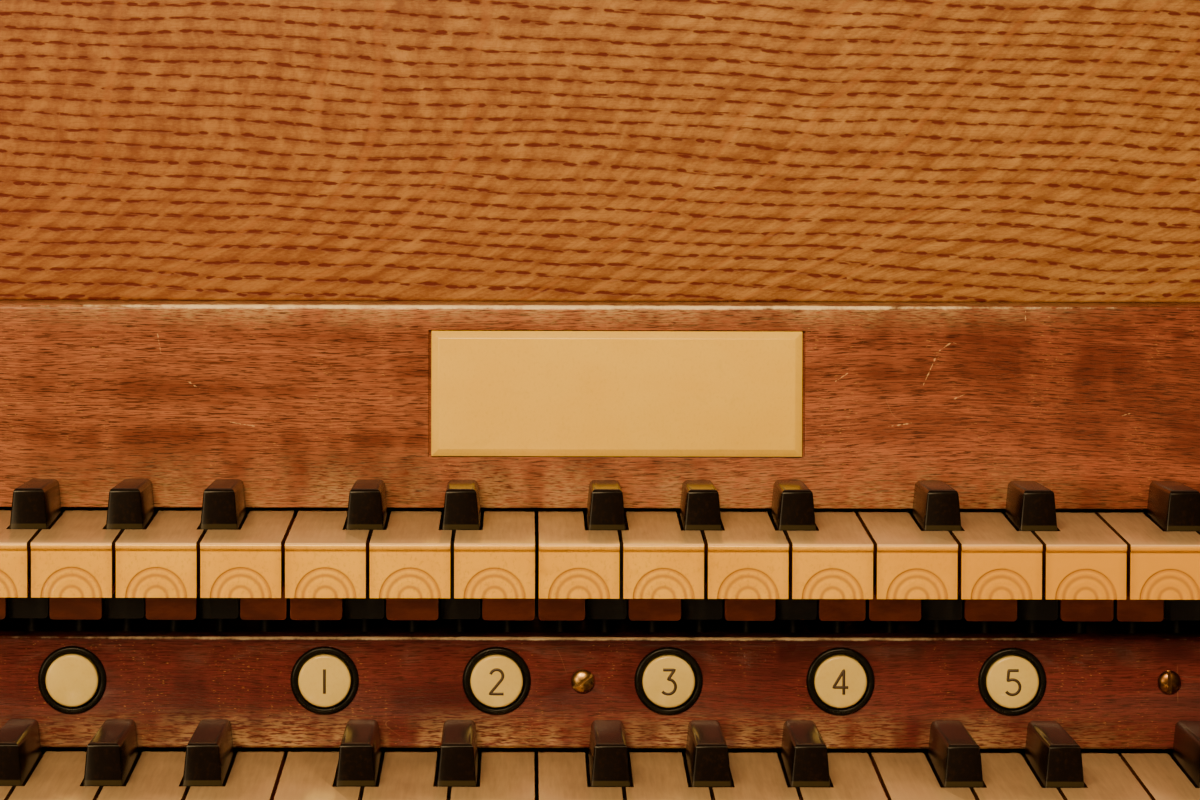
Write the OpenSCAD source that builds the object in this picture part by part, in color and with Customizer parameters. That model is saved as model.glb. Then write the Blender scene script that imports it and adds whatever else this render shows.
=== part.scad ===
// Two-manual organ keydesk: keybed, stepped sides, two 61-note manuals of tail-pivoted keys,
// piston rail, nameboard with its plate, panelled back, top board and sloping music desk.
// Millimetres. X runs to the treble, Y away from the player, Z up, with the origin at the
// centre of the keydesk's underside.

/* [Compass] */
// Whole octaves of the compass, from C up to C
octaves = 5; // [4:1:6]
// Width of one octave, seven naturals
octave_width = 164.5; // [160:0.5:168]
// Gap between two neighbouring naturals
natural_gap = 1.1; // [0.8:0.1:2]

/* [Naturals] */
// Length of the wide head of a natural
head_length = 50; // [48:1:56]
// Upper natural's length from its nose to the board behind it
natural_reach = 121.5; // [112:0.5:130]
// Height of a natural's front
front_height = 15.4; // [14:0.1:17]
// Thickness of the bone plate
plate_thickness = 2; // [1.4:0.1:2.6]
// How far the plate's nose stands in front of the turned front
lip = 1.4; // [1.2:0.1:2]
// Radius of the arcade turned into the front
arcade_radius = 8.7; // [7:0.1:9.6]
// Depth of the arcade's deepest groove
arcade_depth = 1.3; // [0.6:0.1:1.8]
// Depth of the arcade's ridges and boss behind the front's face
arcade_ridge = 0.25; // [0.1:0.05:0.5]
// How far the bone runs on under the board behind it
plate_tuck = 6; // [3:1:12]

/* [Sharps] */
// Width of a sharp at its foot
sharp_width = 11.3; // [10:0.1:12]
// Width of a sharp at its top
sharp_top_width = 8.8; // [8:0.1:9.6]
// Height of a sharp above the naturals at its front
sharp_front_height = 11.6; // [10:0.1:13]
// Height of a sharp above the naturals at its back
sharp_back_height = 9.6; // [8:0.1:10.4]
// Gap between a sharp and the naturals beside it
sharp_gap = 0.6; // [0.5:0.1:1]
// Gap between a sharp's front and the heads of the naturals
sharp_front_gap = 1.2; // [1:0.1:1.6]
// Radius along a sharp's long top edges
sharp_edge = 1.6; // [0.8:0.1:2.4]
// Radius over a sharp's front top edge
sharp_nose = 2.4; // [1.4:0.1:3]
// How far a sharp's front leans back above its upright foot
sharp_rake = 1; // [0.4:0.1:1.6]
// Height of the upright foot of a sharp's front
sharp_foot = 1.6; // [0.8:0.1:2.4]
// How far the ebony is let into its lever
ebony_seat = 1; // [0.6:0.1:2]
// Gap between a sharp's back and the board behind it
sharp_back_gap = 1; // [0.6:0.1:2]

/* [Key levers] */
// Whole length of a key, nose to tail
key_length = 340; // [300:5:400]
// Depth of a lever from the naturals' top to its underside
lever_depth = 25.5; // [23.5:0.1:28]
// How far the bare wood lies below the bone's top
wood_drop = 2.3; // [2:0.1:4]
// How far a key's nose goes down
key_dip = 9.5; // [8:0.5:10.5]
// Radius of the steel rod through the tails
rod_radius = 2.5; // [2:0.1:3]
// Running clearance round rods and stems
running_fit = 0.05; // [0.02:0.01:0.08]
// Distance of the rod from a key's tail end
rod_from_tail = 22; // [16:1:30]
// Depth of the rod's axis below the naturals' top
rod_depth = 14; // [12:0.5:16]
// Distance of each end of a rod from the cheeks' outer faces
rod_inset = 8; // [4:1:14]
// Radius of a guide pin
pin_radius = 1.6; // [1.2:0.1:1.8]
// Clearance on each side of a guide pin in its slot
pin_clearance = 0.4; // [0.2:0.1:0.6]
// Distance of the guide pins behind the naturals' noses
pin_setback = 72; // [66:1:84]
// How far a guide pin stands up into its lever at rest
pin_grip = 5.5; // [4:0.5:8]
// Room over a guide pin when its key is down
pin_room = 2; // [1:0.5:3]
// How far a guide pin is let into its frame
pin_seat = 1; // [0.5:0.5:3]
// Length of a lever's slot for its guide pin
slot_length = 10; // [8:0.5:14]

/* [Manuals] */
// Height of the upper manual above the lower one
manual_rise = 61.3; // [60:0.1:66]
// How far the upper manual lies behind the lower one
manual_setback = 110.5; // [104:0.5:114]
// Gap between a pressed lever's front and its felt
landing_gap = 0.6; // [0.4:0.1:1.2]
// Thickness of the felt on the key frames
felt_thickness = 2.4; // [1.5:0.1:3]
// Width of the felt, front to back
felt_width = 46; // [36:1:56]
// Distance of the felt behind the levers' fronts
felt_inset = 4; // [2:0.5:8]
// Clearance of the felt round a guide pin
felt_pin_fit = 0.2; // [0.1:0.1:0.6]
// Thickness of the rails under the lower manual
lower_rail_thickness = 7.5; // [6:0.5:16]
// Width of each rail under the lower manual
lower_rail_width = 58; // [48:1:70]
// Distance of those rails from the levers' ends
lower_rail_inset = 2; // [1:0.5:6]

/* [Piston rail] */
// Height of the piston rail
rail_height = 31.4; // [28:0.1:32]
// Thickness of the piston rail
rail_thickness = 15.6; // [14.5:0.1:16.4]
// How far its face lies behind the upper naturals' noses
rail_setback = 27; // [24:0.5:28]
// Height of its underside above the lower naturals
rail_lift = 1.5; // [0.8:0.1:2]
// Gap between the rail's back and the fronts of the levers
lever_gap = 5; // [4:0.1:5.2]
// Radius of the rail's top front arris
rail_round = 1.2; // [0.6:0.1:2]
// Size of the bevel along the rail's bottom front arris
rail_ease = 0.6; // [0.3:0.1:1]
// Radius of an ivory piston
piston_radius = 7.4; // [6:0.1:8]
// Radius of the black ring round a piston
bezel_radius = 9.6; // [8.9:0.1:11]
// Depth of the ring's seat in the rail
bezel_depth = 5; // [3:0.1:6]
// How far the ring's lip stands out of the rail
bezel_lip = 0.8; // [0.6:0.1:1.6]
// Gap between a piston's head and its ring
piston_fit = 0.25; // [0.15:0.05:0.4]
// Distance between the numbered pistons
piston_pitch = 48.4; // [40:0.1:60]
// Number of numbered pistons
piston_count = 5; // [1:1:5]
// Distance of the plain piston from the first numbered one
plain_piston_offset = 71; // [60:1:80]
// Place of the middle numbered piston
piston_middle = 13.7; // [-20:0.1:40]
// Depth of the pistons' axes below the rail's top
piston_drop = 12.4; // [11.5:0.1:16]
// How far a piston stands out of the rail's face
piston_proud = 3.2; // [2.4:0.1:5]
// Rise of the dome on a piston's head
piston_dome = 0.6; // [0.2:0.1:1]
// How far a piston goes in
piston_travel = 2; // [1:0.1:2.2]
// Length of a piston's head behind the rail's face
piston_head_depth = 6; // [5:0.5:7]
// Room behind a pressed piston's head and behind its stem
piston_room = 1; // [0.5:0.1:1.5]
// Radius of a piston's stem
stem_radius = 3; // [2:0.1:4]
// Wood left behind a stem's bore
stem_wall = 1.5; // [1:0.1:2]
// Distance of the outer screws beyond the end pistons
screw_offset = 44.2; // [30:0.1:60]
// Distance of the end screws from the rail's ends
screw_end = 120; // [60:1:180]
// Radius of a rail screw's head
screw_head_radius = 3.3; // [2.6:0.1:4]
// Height of a rail screw's head
screw_head_height = 2; // [1.6:0.1:2.6]
// Radius of a rail screw's shank
screw_radius = 2; // [1.5:0.1:2.4]
// How far a rail screw goes into the frame behind the rail
screw_bite = 9; // [6:1:16]

/* [Nameboard] */
// Height of the nameboard
nameboard_height = 59.6; // [54:0.1:80]
// Thickness of the nameboard
nameboard_thickness = 22.5; // [18:0.5:28]
// Gap between the naturals and the nameboard
nameboard_lift = 1.2; // [0.8:0.1:2]
// Radius of the nameboard's top arris
nameboard_round = 1.6; // [0.8:0.1:3]
// Width of the inset plate
plate_width = 108.8; // [80:0.1:140]
// Height of the inset plate
plate_height = 36.8; // [20:0.1:42]
// Share of the nameboard's height below the plate's middle
plate_share = 0.564; // [0.5:0.002:0.58]
// How far the plate stands out of the nameboard
plate_proud = 1.8; // [1.4:0.1:3]
// Width of the bevel round the plate
plate_bevel = 2.2; // [1:0.1:4]
// Height of that bevel
plate_bevel_height = 1.2; // [0.6:0.1:1.4]
// Depth of the recess
recess_depth = 1.6; // [1:0.1:3]
// Gap at each end of the plate in its recess
recess_gap = 0.8; // [0.3:0.1:1.5]
// Gap above and below the plate in its recess
recess_fit = 0.2; // [0.1:0.1:0.6]

/* [Case] */
// Thickness of the keybed
keybed_thickness = 28; // [20:1:40]
// Thickness of a side
side_thickness = 24; // [18:1:32]
// Height of a side's shoulder above the cheek beside it
side_rise = 5; // [2:1:12]
// Radius of the nose of each shoulder
side_nose = 12; // [6:1:16]
// Radius of the hollow between the two shoulders
side_sweep = 34; // [20:1:40]
// How far the upper shoulder stands in front of the upper naturals
side_step = 14; // [8:1:20]
// How far the sides' hollow ends in front of the nameboard
side_stop = 6; // [2:1:12]
// Width of a cheek
cheek_width = 36; // [24:1:60]
// Gap between a cheek and the keys
cheek_gap = 1.5; // [1:0.1:4]
// Height of a cheek above the naturals
cheek_height = 19; // [14:1:24]
// Radius of a cheek's nose
cheek_nose = 7; // [3:1:12]
// How far an upper cheek stands in front of the naturals
cheek_proud = 2; // [0:0.5:6]
// Gap between a cheek and the board let in above it
cheek_fit = 0.5; // [0.2:0.1:1]
// Thickness of the key slip in front of the lower manual
slip_thickness = 15; // [12:1:24]
// Gap between the key slip and the naturals
slip_gap = 2.6; // [2:0.1:4]
// Depth of the key slip's top below the naturals' fronts
slip_drop = 1.8; // [1:0.1:6]
// Radius of the key slip's top front arris
slip_round = 3; // [1:0.5:6]
// Gap between the tails and the back board
tail_gap = 4; // [3:0.5:20]
// Thickness of the back board
back_thickness = 14; // [10:1:22]
// Number of sunk panels in the back board
panel_count = 3; // [1:1:5]
// Width of the frame round and between the panels
panel_frame = 30; // [20:1:40]
// How far the panels are sunk
panel_depth = 4; // [2:0.5:6]
// Thickness of the top board
top_board_thickness = 18; // [14:1:26]
// Height of the music desk along its slope
desk_height = 240; // [150:5:320]
// Thickness of the music desk
desk_thickness = 20; // [14:1:26]
// Lean of the music desk from upright
desk_lean = 10; // [5:1:20]
// Radius along the music desk's top edges
desk_round = 5; // [2:0.5:7]
// Gap between the music desk and the nameboard
desk_gap = 1; // [0.3:0.1:4]
// Gap between the music desk's ends and the sides
desk_end_gap = 1; // [0.5:0.5:20]
// Thickness of a desk bracket
bracket_thickness = 20; // [16:1:30]
// Height of a desk bracket
bracket_height = 149; // [90:1:160]
// Height of a desk bracket's toe
bracket_toe = 12; // [8:1:20]
// Distance of a desk bracket's toe from the case's back
bracket_margin = 24; // [10:1:40]
// Distance of each desk bracket from the middle
bracket_place = 253; // [120:1:360]

/* [Hidden] */
natural_pitch = octave_width / 7;
naturals = octaves * 7 + 1;
compass = naturals * natural_pitch;
head_width = natural_pitch - natural_gap;
keys_half = compass / 2 + cheek_gap;
inner_half = keys_half + cheek_width;
outer_half = inner_half + side_thickness;

// Along a key, behind its nose, and down from the naturals' top
lever_start = rail_setback + rail_thickness + lever_gap;
rod_from_nose = key_length - rod_from_tail;
sharp_front = head_length + sharp_front_gap;
dip_at_lever = key_dip * (rod_from_nose - lever_start) / rod_from_nose;
dip_at_pin = key_dip * (rod_from_nose - pin_setback) / rod_from_nose;
frame_depth = lever_depth + dip_at_lever + landing_gap + felt_thickness;
slot_depth = pin_grip + dip_at_pin + pin_room;
pin_length = pin_seat + frame_depth - lever_depth + pin_grip;

depth = slip_thickness + slip_gap + manual_setback + key_length + tail_gap + back_thickness;
front_y = -depth / 2;
back_y = depth / 2;
lower_front = front_y + slip_thickness + slip_gap;
upper_front = lower_front + manual_setback;
lower_frame_top = keybed_thickness + lower_rail_thickness;
lower_top = lower_frame_top + frame_depth;
upper_top = lower_top + manual_rise;
upper_frame_top = upper_top - frame_depth;
frame_back = upper_front + key_length;

rail_face = upper_front + rail_setback;
rail_bottom = lower_top + rail_lift;
rail_top = rail_bottom + rail_height;
rail_back = rail_face + rail_thickness;
lower_reach = manual_setback + rail_setback;
piston_z = rail_top - piston_drop;
first_piston = piston_middle - piston_pitch * (piston_count - 1) / 2;
last_piston = piston_middle + piston_pitch * (piston_count - 1) / 2;
piston_xs = concat([first_piston - plain_piston_offset],
    [for (i = [0 : piston_count - 1]) first_piston + piston_pitch * i]);
screw_xs = [screw_end - inner_half, piston_xs[0] - screw_offset,
    piston_middle - (piston_count % 2) * piston_pitch / 2, last_piston + screw_offset, inner_half - screw_end];
screw_length = rail_thickness + screw_bite;

nameboard_face = upper_front + natural_reach;
nameboard_bottom = upper_top + nameboard_lift;
nameboard_top = nameboard_bottom + nameboard_height;
nameboard_back = nameboard_face + nameboard_thickness;
plate_middle_z = nameboard_bottom + nameboard_height * plate_share;
desk_foot_y = nameboard_back + desk_gap;
desk_half = inner_half - desk_end_gap;

// Colours as the photograph shows them
OAK = [0.72, 0.47, 0.22];
MAHOGANY = [0.42, 0.16, 0.07];
KEY_WOOD = [0.80, 0.66, 0.45];
BONE = [0.88, 0.83, 0.72];
EBONY = [0.06, 0.055, 0.05];
STEEL = [0.55, 0.56, 0.58];
BRASS = [0.72, 0.55, 0.25];
FELT = [0.45, 0.09, 0.08];

// Number of a sharp's place in the octave, for the natural on its left or on its right
SHARP_ON_RIGHT = [0, 1, -1, 2, 3, 4, -1];
SHARP_ON_LEFT = [-1, 0, 1, -1, 2, 3, 4];
// Middle of each sharp as a share of the octave
SHARP_PLACE = [0.131, 0.297, 0.55, 0.716, 0.879];
LETTERS = ["c", "d", "e", "f", "g", "a", "b"];
// Slant of each rail screw's slot, as the screws happen to stand
SLOT_SLANTS = [20, 110, 145, 88, 60];

// The keys that move one by one: two octaves from F to F round the middle of the compass
FIRST_FREE = 10;
LAST_FREE = 24;
FREE_NATURALS = [for (n = [FIRST_FREE : LAST_FREE]) n];
FREE_SHARPS = [for (n = [FIRST_FREE : LAST_FREE - 1]) if (SHARP_ON_RIGHT[n % 7] >= 0) n];
BASS_NATURALS = [for (n = [0 : FIRST_FREE - 1]) n];
TREBLE_NATURALS = [for (n = [LAST_FREE + 1 : naturals - 1]) n];
BASS_SHARPS = [for (n = BASS_NATURALS) if (SHARP_ON_RIGHT[n % 7] >= 0) n];
TREBLE_SHARPS = [for (n = [LAST_FREE : naturals - 2]) if (SHARP_ON_RIGHT[n % 7] >= 0) n];
ALL_NATURALS = [for (n = [0 : naturals - 1]) n];
ALL_SHARPS = [for (n = [0 : naturals - 2]) if (SHARP_ON_RIGHT[n % 7] >= 0) n];

function natural_name(n) = str("key_", LETTERS[n % 7], floor(n / 7) + 2);
function sharp_name(n) = str("key_", LETTERS[n % 7], "_sharp", floor(n / 7) + 2);
function piston_name(i) = i == 0 ? "piston_plain" : str("piston_", i);

function arc(middle, radius, from, to, steps = 8) =
    [for (i = [0 : steps]) let (a = from + (to - from) * i / steps) middle + radius * [cos(a), sin(a)]];

// Left edge of a natural's place, middle of the sharp on its right, and its tail's two sides
function natural_x(n) = n * natural_pitch - compass / 2;
function sharp_x(n) = (floor(n / 7) + SHARP_PLACE[SHARP_ON_RIGHT[n % 7]]) * octave_width - compass / 2;
function tail_left(n) = n == 0 || SHARP_ON_LEFT[n % 7] < 0 ? natural_x(n) + natural_gap / 2
    : sharp_x(n - 1) + sharp_width / 2 + sharp_gap;
function tail_right(n) = n == naturals - 1 || SHARP_ON_RIGHT[n % 7] < 0
    ? natural_x(n + 1) - natural_gap / 2 : sharp_x(n) - sharp_width / 2 - sharp_gap;
function tail_middle(n) = (tail_left(n) + tail_right(n)) / 2;

// One guide pin stands under the middle of every lever
PIN_XS = concat([for (n = ALL_NATURALS) tail_middle(n)], [for (n = ALL_SHARPS) sharp_x(n)]);

// Pushes an outline drawn in Y and Z out along X
module along_x(x0, x1) translate([x0, 0, 0]) rotate([90, 0, 90]) linear_extrude(x1 - x0) children();

// Pushes an outline drawn in X and Z out along Y
module along_y(y0, y1) translate([0, y1, 0]) rotate([90, 0, 0]) linear_extrude(y1 - y0) children();

// Puts a key, drawn with its nose at Y 0 and the naturals' top at Z 0, on its manual
module on_lower() translate([0, lower_front, lower_top]) children();
module on_upper() translate([0, upper_front, upper_top]) children();

// The wide head: rounded nose of the bone plate over a front turned with an arcade
module natural_head(n) {
    nose = plate_thickness / 2;
    middle = natural_x(n) + natural_pitch / 2;
    difference() {
        along_x(middle - head_width / 2, middle + head_width / 2)
            polygon(concat([[head_length, -front_height], [head_length, 0]],
                arc([nose, -nose], nose, 90, 270, 6), [[lip, -plate_thickness], [lip, -front_height]]));
        translate([middle, lip, -front_height]) rotate([90, 0, 0]) arcade_cutter();
    }
}

// The cutter of the turned arcade: two rings and a boss left standing between three grooves
module arcade_cutter() {
    r = arcade_radius;
    deep = arcade_depth;
    ridge = arcade_ridge;
    front = lip + 1;
    rotate_extrude($fn = 48)
        polygon([[0, ridge], [0.12 * r, ridge], [0.2 * r, deep], [0.36 * r, deep], [0.46 * r, ridge],
            [0.57 * r, ridge], [0.63 * r, deep], [0.7 * r, deep], [0.76 * r, ridge], [0.84 * r, ridge],
            [0.89 * r, deep], [0.95 * r, deep], [r, 0], [r, -front], [0, -front]] * [[1, 0], [0, -1]]);
}

// A lever with its bore for the rod and its slot for the guide pin, between two sides
module lever(left, right, outline) {
    middle = (left + right) / 2;
    slot_half = pin_radius + pin_clearance;
    difference() {
        along_x(left, right) polygon(outline);
        translate([left - 1, rod_from_nose, -rod_depth]) rotate([0, 90, 0])
            cylinder(r = rod_radius + running_fit, h = right - left + 2, $fn = 48);
        translate([middle - slot_half, pin_setback - slot_length / 2, -lever_depth - 1])
            cube([2 * slot_half, slot_length, slot_depth + 1]);
    }
}

module natural_key(n, reach) {
    bone_end = reach + plate_tuck;
    inside = head_length - 1;
    union() {
        natural_head(n);
        lever(tail_left(n), tail_right(n), [
            [lever_start, -lever_depth], [key_length, -lever_depth], [key_length, -wood_drop],
            [bone_end, -wood_drop], [bone_end, 0], [inside, 0], [inside, -front_height],
            [lever_start, -front_height]]);
    }
}

// An ebony sharp: a front that leans back from an upright foot, sides that lean in, and a top that
// falls towards the back
module ebony(x, end) {
    slope = atan((sharp_front_height - sharp_back_height) / (end - sharp_front));
    lean = (sharp_width - sharp_top_width) / 2;
    foot = -wood_drop - ebony_seat;
    nose_y = sharp_front + sharp_rake + sharp_nose;
    intersection() {
        translate([0, sharp_front, sharp_front_height]) rotate([-slope, 0, 0])
            along_y(-head_length, end)
                polygon(concat([[x - sharp_width / 2 - lean, foot - 2 * sharp_front_height],
                    [x + sharp_width / 2 + lean, foot - 2 * sharp_front_height]],
                    arc([x + sharp_top_width / 2 - sharp_edge, -sharp_edge], sharp_edge, 0, 90, 6),
                    arc([x - sharp_top_width / 2 + sharp_edge, -sharp_edge], sharp_edge, 90, 180, 6)));
        along_x(x - sharp_width / 2, x + sharp_width / 2)
            polygon(concat([[end, foot], [end, sharp_front_height + 1]],
                arc([nose_y, sharp_front_height - sharp_nose], sharp_nose, 90, 165, 6),
                [[sharp_front, sharp_foot], [sharp_front, foot]]));
    }
}

module sharp_key(n, end) {
    x = sharp_x(n);
    union() {
        ebony(x, end);
        lever(x - sharp_width / 2, x + sharp_width / 2, [
            [sharp_front, -lever_depth], [key_length, -lever_depth],
            [key_length, -wood_drop], [sharp_front, -wood_drop]]);
    }
}

module upper_natural(n) color(BONE) on_upper() natural_key(n, natural_reach);
module upper_sharp(n) color(EBONY) on_upper() sharp_key(n, natural_reach - sharp_back_gap);
module upper_naturals(list) for (n = list) upper_natural(n);
module upper_sharps(list) for (n = list) upper_sharp(n);
module lower_naturals() color(BONE) on_lower() for (n = ALL_NATURALS) natural_key(n, lower_reach);
module lower_sharps() color(EBONY) on_lower() for (n = ALL_SHARPS) sharp_key(n, lower_reach - sharp_back_gap);

// The oak board that carries everything
module keybed() color(OAK) translate([-inner_half, front_y, 0])
    cube([2 * inner_half, depth, keybed_thickness]);

// A stepped side in one board, with an S-shaped shoulder over each manual
module side_outline() {
    lower_shoulder = lower_top + cheek_height + side_rise;
    upper_shoulder = upper_top + cheek_height + side_rise;
    upper_sweep = nameboard_top - upper_shoulder;
    step_y = upper_front - side_step;
    stop_y = nameboard_face - side_stop;
    polygon(concat([[front_y, 0], [back_y, 0], [back_y, nameboard_top], [stop_y, nameboard_top]],
        arc([stop_y - upper_sweep, nameboard_top], upper_sweep, -10, -90, 8),
        arc([step_y + side_nose, upper_shoulder - side_nose], side_nose, 90, 180, 6),
        arc([step_y - side_sweep, lower_shoulder + side_sweep], side_sweep, 0, -90, 8),
        arc([front_y + side_nose, lower_shoulder - side_nose], side_nose, 90, 180, 6)));
}
module side(x0) color(OAK) along_x(x0, x0 + side_thickness) side_outline();

// The slip that closes the front below the lower naturals
module key_slip() {
    top = lower_top - front_height - slip_drop;
    color(MAHOGANY) along_x(-inner_half, inner_half)
        polygon(concat([[front_y, keybed_thickness], [front_y + slip_thickness, keybed_thickness],
            [front_y + slip_thickness, top]],
            arc([front_y + slip_round, top - slip_round], slip_round, 90, 180, 5)));
}

// A cheek beside a manual, standing on its feet: full height in front of the board behind the keys,
// and lower behind that board's face
module cheek(x0, feet, top_z, step_y, step_z, rod_y, rod_z) color(MAHOGANY) difference() {
    along_x(x0, x0 + cheek_width)
        polygon(concat(feet, [[frame_back, step_z], [step_y, step_z], [step_y, top_z]],
            arc([feet[0].x + cheek_nose, top_z - cheek_nose], cheek_nose, 90, 180, 6)));
    translate([-outer_half, rod_y, rod_z]) rotate([0, 90, 0])
        cylinder(r = rod_radius + running_fit, h = 2 * outer_half, $fn = 48);
}

module lower_cheek(x0) cheek(x0,
    [[front_y + slip_thickness, keybed_thickness], [frame_back, keybed_thickness]],
    lower_top + cheek_height, rail_face - cheek_fit, rail_bottom,
    lower_front + rod_from_nose, lower_top - rod_depth);

module upper_cheek(x0) cheek(x0,
    [[upper_front - cheek_proud, rail_top], [rail_back, rail_top], [rail_back, upper_frame_top],
        [frame_back, upper_frame_top]],
    upper_top + cheek_height, nameboard_face - cheek_fit, nameboard_bottom,
    upper_front + rod_from_nose, upper_top - rod_depth);

// A row of guide pins standing in a frame
module guide_pins(front, frame_top) for (x = PIN_XS)
    translate([x, front + pin_setback, frame_top - pin_seat])
        cylinder(r = pin_radius, h = pin_length, $fn = 24);

// The lower manual's two rails: the front one with its guide pins, the back one under the tails
module lower_key_rails() color(KEY_WOOD) {
    rail_half = keys_half - cheek_fit;
    front_rail = lower_front + lever_start + lower_rail_inset;
    back_rail = lower_front + key_length - lower_rail_inset - lower_rail_width;
    for (y = [front_rail, back_rail]) translate([-rail_half, y, keybed_thickness])
        cube([2 * rail_half, lower_rail_width, lower_rail_thickness]);
    guide_pins(lower_front, lower_frame_top);
}

// The upper manual's frame, a board from cheek to cheek that rests on the lower cheeks, with the
// guide pins on it and the rail's screws let into its front
module upper_key_frame() color(KEY_WOOD) {
    difference() {
        translate([-inner_half, rail_back, rail_bottom])
            cube([2 * inner_half, frame_back - rail_back, upper_frame_top - rail_bottom]);
        for (x = screw_xs) translate([x, rail_back - 1, piston_z]) rotate([-90, 0, 0])
            cylinder(r = screw_radius + running_fit, h = screw_bite + 2, $fn = 32);
    }
    guide_pins(upper_front, upper_frame_top);
}

// A strip of felt on a key frame, pierced by the guide pins, that the levers land on
module felt(front, frame_top) color(FELT) difference() {
    strip_half = keys_half - 2 * cheek_fit;
    translate([-strip_half, front + lever_start + felt_inset, frame_top])
        cube([2 * strip_half, felt_width, felt_thickness]);
    for (x = PIN_XS) translate([x, front + pin_setback, frame_top - 1])
        cylinder(r = pin_radius + felt_pin_fit, h = felt_thickness + 2, $fn = 24);
}

// A steel rod through every tail of a manual, held in the cheeks
module pivot_rod(front, top) color(STEEL)
    translate([rod_inset - inner_half, front + rod_from_nose, top - rod_depth]) rotate([0, 90, 0])
        cylinder(r = rod_radius, h = 2 * (inner_half - rod_inset), $fn = 48);

// The rail under the upper manual, with a stepped bore for every piston and its ring, and a hole for
// every screw
module piston_rail() color(MAHOGANY) difference() {
    head_bore = piston_head_depth + piston_travel + piston_room;
    along_x(-inner_half, inner_half)
        polygon(concat([[rail_face + rail_ease, rail_bottom], [rail_back, rail_bottom], [rail_back, rail_top]],
            arc([rail_face + rail_round, rail_top - rail_round], rail_round, 90, 180, 4),
            [[rail_face, rail_bottom + rail_ease]]));
    for (x = piston_xs) translate([x, rail_face, piston_z]) rotate([-90, 0, 0]) {
        translate([0, 0, -1]) cylinder(r = bezel_radius + running_fit, h = bezel_depth + 1, $fn = 64);
        cylinder(r = piston_radius + piston_fit, h = head_bore, $fn = 64);
        cylinder(r = stem_radius + running_fit, h = rail_thickness - stem_wall, $fn = 48);
    }
    for (x = screw_xs) translate([x, rail_face - 1, piston_z]) rotate([-90, 0, 0])
        cylinder(r = screw_radius + running_fit, h = rail_thickness + 2, $fn = 32);
}

// Black rings let into the rail, each with a bevelled lip round its piston
module piston_bezels() color(EBONY) for (x = piston_xs) translate([x, rail_face, piston_z]) rotate([90, 0, 0])
    rotate_extrude($fn = 64) {
        bore = piston_radius + piston_fit;
        bevel = bezel_lip / 2;
        polygon([[bore, -bezel_depth], [bezel_radius, -bezel_depth], [bezel_radius, bevel],
            [bezel_radius - bevel, bezel_lip], [bore + bevel, bezel_lip], [bore, bevel]]);
    }

// An ivory piston: a slightly domed head on a stem
module piston(i) {
    stem_end = piston_travel + piston_room + stem_wall - rail_thickness;
    rim = piston_proud - piston_dome;
    edge = 0.4;
    color(BONE) translate([piston_xs[i], rail_face, piston_z]) rotate([90, 0, 0]) rotate_extrude($fn = 64)
        polygon(concat([[0, stem_end], [stem_radius, stem_end], [stem_radius, -piston_head_depth],
            [piston_radius, -piston_head_depth], [piston_radius, rim - edge], [piston_radius - edge, rim]],
            [for (k = [3 : -1 : 0]) [piston_radius * k / 4, piston_proud - piston_dome * pow(k / 4, 2)]]));
}

// Round-headed brass screws, each with a slot across its head
module rail_screws() {
    rim = 0.4;
    slot_width = 0.9;
    slot_deep = 1;
    color(BRASS) for (k = [0 : len(screw_xs) - 1]) translate([screw_xs[k], rail_face, piston_z])
        rotate([90, 0, 0]) difference() {
            rotate_extrude($fn = 48)
                polygon(concat([[0, -screw_length], [screw_radius, -screw_length], [screw_radius, 0],
                    [screw_head_radius, 0], [screw_head_radius, rim]],
                    [for (a = [20 : 20 : 80])
                        [screw_head_radius * cos(a), rim + (screw_head_height - rim) * sin(a)]],
                    [[0, screw_head_height]]));
            rotate([0, 0, SLOT_SLANTS[k]])
                translate([-2 * screw_head_radius, -slot_width / 2, screw_head_height - slot_deep])
                    cube([4 * screw_head_radius, slot_width, slot_deep + 1]);
        }
}

// The nameboard with a recess for its plate
module nameboard() color(MAHOGANY) difference() {
    along_x(-inner_half, inner_half)
        polygon(concat([[nameboard_face, nameboard_bottom], [nameboard_back, nameboard_bottom],
            [nameboard_back, nameboard_top]],
            arc([nameboard_face + nameboard_round, nameboard_top - nameboard_round],
                nameboard_round, 90, 180, 5)));
    translate([-plate_width / 2 - recess_gap, nameboard_face - 1,
        plate_middle_z - plate_height / 2 - recess_fit])
        cube([plate_width + 2 * recess_gap, recess_depth + 1, plate_height + 2 * recess_fit]);
}

// The bare bone plate, bevelled on its four sides
module nameboard_plate() {
    back = nameboard_face + recess_depth;
    face = nameboard_face - plate_proud;
    edge = face + plate_bevel_height;
    color(BONE) intersection() {
        along_x(-plate_width / 2, plate_width / 2) translate([0, plate_middle_z])
            polygon([[back, -plate_height / 2], [back, plate_height / 2], [edge, plate_height / 2],
                [face, plate_height / 2 - plate_bevel], [face, plate_bevel - plate_height / 2],
                [edge, -plate_height / 2]]);
        translate([0, 0, plate_middle_z - plate_height]) linear_extrude(2 * plate_height)
            polygon([[-plate_width / 2, back], [-plate_width / 2, edge], [plate_bevel - plate_width / 2, face],
                [plate_width / 2 - plate_bevel, face], [plate_width / 2, edge], [plate_width / 2, back]]);
    }
}

// The oak board that closes the back, framed round sunk panels
module back_board() color(OAK) {
    bottom = keybed_thickness;
    top = nameboard_top - top_board_thickness;
    panel_width = (2 * inner_half - (panel_count + 1) * panel_frame) / panel_count;
    difference() {
        translate([-inner_half, back_y - back_thickness, bottom])
            cube([2 * inner_half, back_thickness, top - bottom]);
        for (i = [0 : panel_count - 1])
            translate([panel_frame - inner_half + i * (panel_width + panel_frame), back_y - panel_depth,
                bottom + panel_frame])
                cube([panel_width, panel_depth + 1, top - bottom - 2 * panel_frame]);
    }
}

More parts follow.
